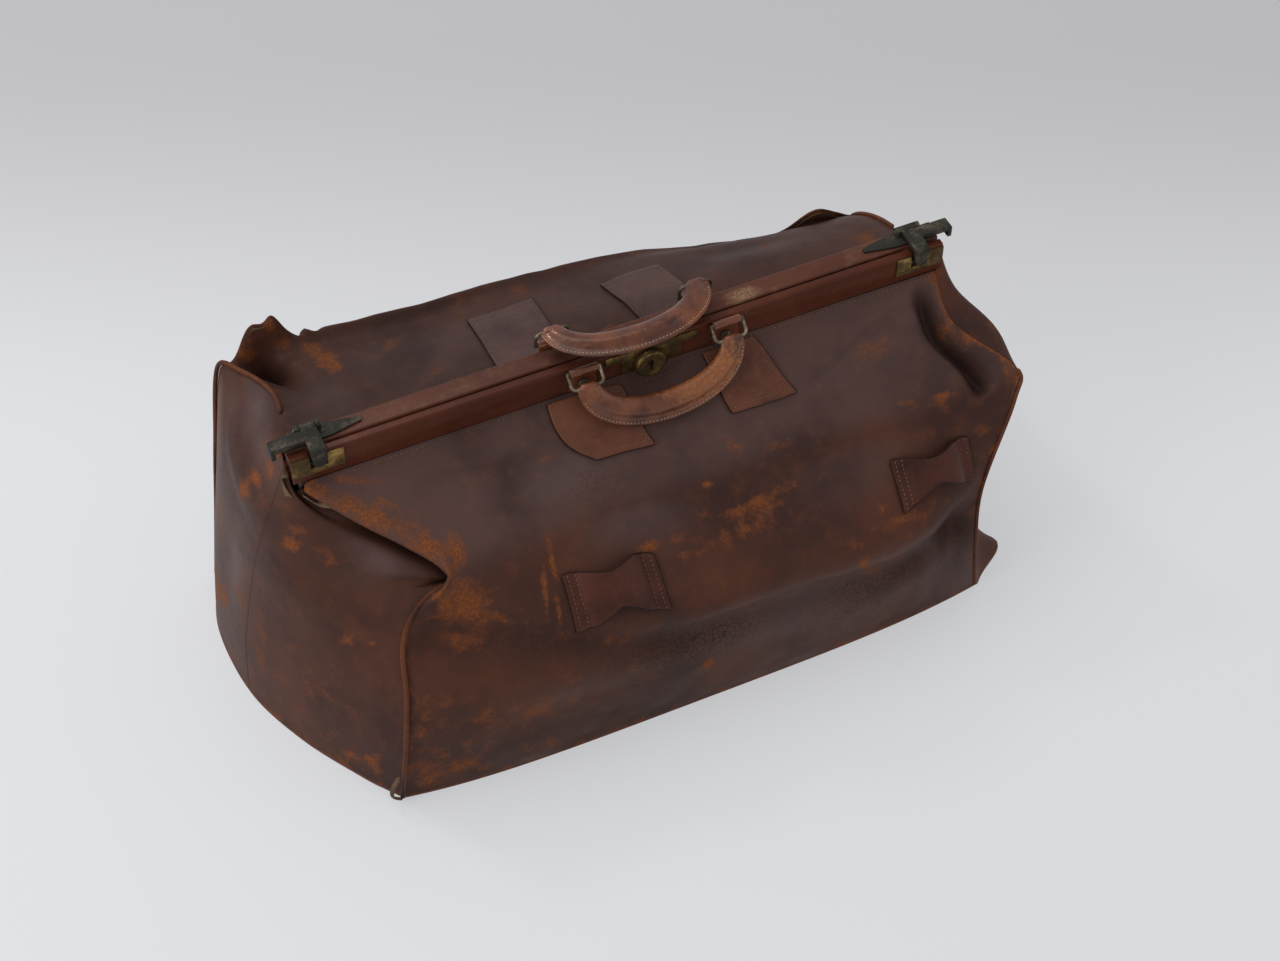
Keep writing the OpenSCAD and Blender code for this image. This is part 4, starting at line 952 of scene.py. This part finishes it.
def keeper_outline(x, width, v_low, v_high, worn=0.0):
    """A strip narrowest at its middle; worn pulls its long edges as they have stretched in use."""

    def outline(p, q):
        waist = 1 - 0.34 * np.sin(np.pi * p) ** 2
        wave = 0.3 * np.sin(7 * p + 1)
        low, high = (np.interp(p, KEEPER_SHARES, edge) for edge in (KEEPER_LOW, KEEPER_HIGH))
        height = (q - 0.5) * waist + 0.1 * wave + worn * mix(low, high, q)
        return x + width * (p - 0.5), (v_low + v_high) / 2 + (v_high - v_low) * height

    return outline


KEEPER_RISE = 8


def keeper_bridge(p):
    """How far the keeper stands off the wall between its sewn ends."""
    return KEEPER_RISE * np.sin(np.pi * np.clip((p - 0.14) / 0.72, 0, 1)) ** 0.6


KEEPERS = [
    ("front_left_keeper", FRONT, keeper_outline(-66, 80, 0.362, 0.487, 1)),
    ("front_right_keeper", FRONT, keeper_outline(232, 72, 0.372, 0.476, 0.8)),
    ("back_left_keeper", BACK, keeper_outline(-66, 72, 0.24, 0.373)),
    ("back_right_keeper", BACK, keeper_outline(232, 72, 0.24, 0.373)),
]
for name, (surface, side, body), outline in KEEPERS:
    top = sewn_piece(
        name, surface, side, outline, 60, 30, keeper_leather, name, keeper_bridge
    )
    k = np.linspace(0.05, 0.95, 30)
    bm = bmesh.new()
    for share in (0.05, 0.13, 0.87, 0.95):
        stitches(bm, top(0 * k + share, k), np.tile((0.0, -side, 0.15), (len(k), 1)), *KEEPER_STITCH)
    sew(name + "_thread", bm)

# piping: its path up a seam, the jaw it hangs from, its shift off the seam and its radius
PIPING_LOW = 2.2
k = np.linspace(0, 1, 160)
SEAMS = [
    ("front_left_piping", front_leather_at(0 * k, k * 0.63), "front_jaw", (-1.5, -1.5, 0), 2.3),
    ("front_right_piping", front_leather_at(0 * k + 1, k * 0.66), "front_jaw", (0.4, -0.8, 0), 1.6),
    ("back_left_piping", back_leather_at(0 * k, k * 0.88), "back_jaw", (-1.5, 1.5, 1), 2.1),
    ("back_right_piping", back_leather_at(0 * k + 1, k * 0.88), "back_jaw", (1.0, 1.0, 0.5), 1.8),
]
for name, path, body, out, r in SEAMS:
    path = path + np.array(out)
    path[:, 2] = np.maximum(path[:, 2], PIPING_LOW)
    piece = new_piece(name + "_cord", tube(path, r), None, piping_leather)
    hang(piece)
    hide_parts(name)

# the seam has burst open at the front left foot, and its lining curls out
BURST_CORNER = np.array([-270.0, -140.0, 2.6])
k = np.linspace(0, 1, 40)
belly = np.sin(np.pi * k)
lining = BURST_CORNER + np.stack([-9 * belly, -3 * belly, 33 * k], axis=1)
piece = new_piece("burst_lining", tube(lining, 2.1, 12, 0.6), None, flesh_leather)
hang(piece)

# a run of stitches below each jaw
u = np.linspace(0.012, 0.988, 500)
for (surface, side, body), height in ((FRONT, 0.978), (BACK, 0.982)):
    v = 0 * u + height
    bm = bmesh.new()
    stitches(bm, on(surface, side, u, v, 0.3), normals_of(surface, u, v, side), *JAW_STITCH)
    sew(body + "_thread", bm)


# Rigid pieces: the frame's own shapes with their edges eased

# angles in radians between faces
HARD_EDGE = 0.6
SMOOTH_EDGE = 0.7


def softened(node, width, material, slot, body):
    """A node's own shape with its hard edges eased by a width."""
    bm = bmesh.new()
    bm.from_mesh(nodes[node].data)
    bmesh.ops.remove_doubles(bm, verts=bm.verts, dist=2e-6)
    bmesh.ops.dissolve_limit(bm, angle_limit=0.01, verts=bm.verts, edges=bm.edges)
    hard = [e for e in bm.edges if len(e.link_faces) == 2 and e.calc_face_angle() > HARD_EDGE]
    bmesh.ops.bevel(
        bm, geom=hard, offset=width * MM, offset_type="OFFSET", segments=2, profile=0.5,
        affect="EDGES", material=-1, clamp_overlap=True,
    )
    for e in bm.edges:
        e.smooth = len(e.link_faces) == 2 and e.calc_face_angle() < SMOOTH_EDGE
    piece = new_piece(node + "_piece", bm, body, material)
    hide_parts(node)


SOFTENED = [
    ("front_jaw_cover", 0.5, jaw_leather, "jaw_leather", "front_jaw"),
    ("back_jaw_cover", 0.5, back_jaw_leather, "jaw_leather", "back_jaw"),
    ("left_end_plate", 0.35, brass, "brass", "front_jaw"),
    ("right_end_plate", 0.35, brass, "brass", "front_jaw"),
    ("lock_plate", 0.3, brass, "brass", "front_jaw"),
    ("lock_boss", 0.3, brass, "brass", "lock_slide"),
    ("left_catch_plate", 0.5, dark_brass, "brass", "back_jaw"),
    ("right_catch_plate", 0.5, dark_brass, "brass", "back_jaw"),
    ("left_claw", 0.8, dark_brass, "brass", "left_claw"),
    ("right_claw", 0.8, dark_brass, "brass", "right_claw"),
]
SOFTENED += [
    (f"{jaw}_{side}_chape", 0.6, handle_leather, "handle_leather", f"{jaw}_jaw")
    for jaw in ("front", "back")
    for side in ("left", "right")
]
for settings in SOFTENED:
    softened(*settings)


# half width and half height of a rivet's head, and how deep its middle sits
RIVET_HEAD = (4.4, 2.3)
RIVET_SINK = 0.8


def rivet_heads(node, body, out):
    """Domed heads on the frame's rivets."""
    points = np.array([v.co for v in nodes[node].data.vertices])
    middle = points[:, 0].mean()
    bm = bmesh.new()
    for head in (points[points[:, 0] < middle], points[points[:, 0] >= middle]):
        low, high = head.min(axis=0), head.max(axis=0)
        place = (low + high) / 2
        place[1] = (low if out < 0 else high)[1] - out * RIVET_SINK * MM
        wide, domed = (size * MM for size in RIVET_HEAD)
        shape = Matrix.Translation(Vector(place)) @ Matrix.Diagonal((wide, domed, wide, 1))
        bmesh.ops.create_uvsphere(bm, u_segments=24, v_segments=14, radius=1, matrix=shape)
    piece = new_piece(node + "_heads", bm, body, ring_wire)
    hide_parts(node)


rivet_heads("front_rivets", "front_jaw", -1)
rivet_heads("back_rivets", "back_jaw", 1)

# the keyhole's round and its slot, from the middle of the boss
KEYHOLE_R = 2.3
KEYHOLE_UP = 1.6
KEYHOLE_DEPTH = 0.5
KEY_SLOT = (1.9, 6.5)
KEY_SLOT_DOWN = 1.8


def keyhole():
    """A round hole with a slot below it, on the face of the lock's boss, drawn as a dark disc and bar of
    painted shade.
    """
    points = np.array([v.co for v in nodes["lock_boss"].data.vertices])
    low, high = points.min(axis=0), points.max(axis=0)
    middle = (low + high) / 2
    bm = bmesh.new()
    face = Matrix.Translation((middle[0], low[1], middle[2])) @ Matrix.Rotation(math.pi / 2, 4, "X")
    bmesh.ops.create_cone(
        bm, cap_ends=True, segments=24, depth=KEYHOLE_DEPTH * MM,
        radius1=KEYHOLE_R * MM, radius2=KEYHOLE_R * MM,
        matrix=face @ Matrix.Translation((0, KEYHOLE_UP * MM, 0)),
    )
    size = Matrix.Diagonal((KEY_SLOT[0] * MM, KEY_SLOT[1] * MM, KEYHOLE_DEPTH * MM, 1))
    bmesh.ops.create_cube(bm, size=1, matrix=face @ Matrix.Translation((0, -KEY_SLOT_DOWN * MM, 0)) @ size)
    new_piece("keyhole", bm, "lock_slide", edge_paint_and_shade, False)


keyhole()


# Handles

HANDLE_SPAN = 128.0
HANDLE_DROP = 36.0
BOW_POWER = 0.95
EYE_W = 19.2
EYE_R = 3.55
GRIP_W = 25.0
GRIP_T = 14.0
# the middle between each handle's eyes, and its tilt at rest
FRONT_HANDLE = (22, -23.554, 298.632, 58)
BACK_HANDLE = (10, 22.187, 325.423, 0)


def bow(a):
    """Middle line of a handle, flat, by angle from one end to the other."""
    c, s = np.cos(a), np.sin(a)
    x = HANDLE_SPAN / 2 * np.sign(c) * np.abs(c) ** BOW_POWER
    return np.stack([x, -HANDLE_DROP * np.abs(s) ** BOW_POWER, 0 * a], axis=1)


def at_rest(points, place):
    """Points of a flat handle, tilted about its eyes and set in place."""
    x, eye_y, eye_z, degrees = place
    a = math.radians(degrees)
    y = points[:, 1] * math.cos(a) - points[:, 2] * math.sin(a)
    z = points[:, 1] * math.sin(a) + points[:, 2] * math.cos(a)
    return np.stack([points[:, 0] + x, y + eye_y, z + eye_z], axis=1)


def handle(name, place):
    """A crescent with a round core along its inner edge and a sewn flange along its outer edge."""
    turns = math.pi * (0.5 - 0.5 * np.cos(math.pi * np.linspace(0, 1, 400)))
    path, way = along(bow(turns), 1.2)
    rows = len(path) - 1
    sides = 48
    out = -np.cross(way, (0, 0, 1.0))
    full = np.sin(math.pi * np.linspace(0, 1, rows + 1)) ** 0.5
    wide, thick = mix(EYE_W, GRIP_W, full) / 2, mix(2 * EYE_R, GRIP_T, full) / 2

    def skin(k, a):
        """The leather at row k, by angle round it from the outer edge."""
        c, s = math.cos(a), math.sin(a)
        flange = float(ease(np.array(c), -0.05, 0.72))
        lift = math.copysign(abs(s) ** mix(0.85, 0.35, flange), s) * thick[k] * (1 - 0.74 * flange)
        creases = 0.35 * noise.noise(Vector((path[k][0] / 2.6, path[k][1] / 2.6, c * 1.2)))
        creases *= (1 - flange) * full[k]
        dents = 0.5 * noise.noise(Vector((path[k][0] / 14, path[k][1] / 14, a)))
        swell = 1 + (creases + dents) / thick[k] * 0.6
        return path[k] + out[k] * wide[k] * c + np.array([0, 0, lift * swell])

    bm = bmesh.new()
    bmesh.ops.create_grid(bm, x_segments=sides, y_segments=rows, size=0.5)
    flat = np.array([skin(round((v.co.y + 0.5) * rows), 2 * math.pi * (v.co.x + 0.5)) for v in bm.verts])
    for vert, p in zip(bm.verts, at_rest(flat, place)):
        vert.co = p * MM
    close_up(bm, sides)
    piece = new_piece(name + "_grip", bm, name, handle_leather)
    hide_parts(name)

    bm = bmesh.new()
    for up in (1, -1):
        seam = np.array([skin(k, up * 0.6) for k in range(int(rows * 0.05), int(rows * 0.95))])
        line = at_rest(seam, place)
        face = at_rest(seam + np.array([0, 0, up]), place) - line
        stitches(bm, line, face, *HANDLE_STITCH)
    new_piece(name + "_thread", bm, name, thread)

    for side, end in (("right", 1), ("left", -1)):
        middle = end * HANDLE_SPAN / 2
        sleeve = np.linspace((middle - EYE_W / 2, 0, 0), (middle + EYE_W / 2, 0, 0), 12)
        eye = tube(at_rest(sleeve, place), EYE_R + 0.1, 24)
        new_piece(f"{name}_{side}_eye", eye, name, handle_leather)


handle("front_handle", FRONT_HANDLE)
handle("back_handle", BACK_HANDLE)


# Finishes of the pieces that stay as the frame has them

FINISHES = {
    "base_panel": trim_leather,
    "board": board,
    "claw_pin": steel,
    "bar": steel,
    "arm": steel,
    "hinge": steel,
    "bolt": steel,
    "ring": ring_wire,
}
for name, node in nodes.items():
    finish = next((m for key, m in FINISHES.items() if key in name), brass)
    node.data.materials.clear()
    node.data.materials.append(finish)


# Floor, lights and camera

FLOOR_TURN = 24.5
FLOOR_FADE = (0.1, 0.75)
FLOOR_NEAR = (0.3, 0.302, 0.308)
FLOOR_FAR = (0.21, 0.206, 0.21)
FLOOR_GLOW = 1.4
bm = bmesh.new()
bmesh.ops.create_grid(bm, x_segments=1, y_segments=1, size=6)
floor_paint, tree, shader, place = paint("floor_paint")
# pale near the camera and greyer to the back, a painted fall-off of light, and lit from within so that shadows
# stay soft
turned = add(tree, "Mapping", {"Vector": place, "Rotation": (0, 0, math.radians(FLOOR_TURN))}).outputs[0]
shade = ramp(tree, add(tree, "SeparateXYZ", {"Vector": turned}).outputs["Y"], *FLOOR_FADE)
pale = blend_colour(tree, shade, FLOOR_NEAR, FLOOR_FAR)
tree.links.new(pale, shader.inputs["Base Color"])
tree.links.new(pale, shader.inputs["Emission Color"])
shader.inputs["Emission Strength"].default_value = FLOOR_GLOW
shader.inputs["Roughness"].default_value = 0.7
mesh = bpy.data.meshes.new("floor")
bm.to_mesh(mesh)
bm.free()
mesh.materials.append(floor_paint)
floor = bpy.data.objects.new("floor", mesh)
bpy.context.scene.collection.objects.link(floor)


def soft_light(name, place, aim, size, power):
    light = bpy.data.lights.new(name, "AREA")
    light.shape = "DISK"
    light.size = size
    light.energy = power
    lamp = bpy.data.objects.new(name, light)
    lamp.location = place
    lamp.rotation_euler = (Vector(aim) - Vector(place)).to_track_quat("-Z", "Y").to_euler()
    bpy.context.scene.collection.objects.link(lamp)


soft_light("top_light", (-0.5, 0.9, 2.7), (0, 0, 0.1), 2.6, 20)
soft_light("window_light", (-0.9, 1.6, 2.2), (0, 0, 0.1), 0.32, 10)
soft_light("left_light", (-2.4, -0.3, 1.7), (0, 0, 0.15), 1.8, 24)
soft_light("right_light", (2.2, -1.6, 1.6), (0, 0, 0.15), 2.0, 5)
world = bpy.data.worlds.new("studio")
world.use_nodes = True
world.node_tree.nodes["Background"].inputs["Color"].default_value = (0.92, 0.95, 1, 1)
world.node_tree.nodes["Background"].inputs["Strength"].default_value = 0.56
bpy.context.scene.world = world
bpy.context.scene.view_settings.view_transform = "Standard"

CAMERA_PLACE = Vector((-0.5868, -1.3175, 1.8535))
CAMERA_AIM = Vector((0.0586, 0.0975, 0.0))
CAMERA_LENS = 73.125
CAMERA_SENSOR = 36
camera = bpy.data.cameras.new("camera")
camera.lens = CAMERA_LENS
camera.sensor_width = CAMERA_SENSOR
camera_object = bpy.data.objects.new("camera", camera)
camera_object.location = CAMERA_PLACE
camera_object.rotation_euler = (CAMERA_AIM - CAMERA_PLACE).to_track_quat("-Z", "Y").to_euler()
bpy.context.scene.collection.objects.link(camera_object)
bpy.context.scene.camera = camera_object
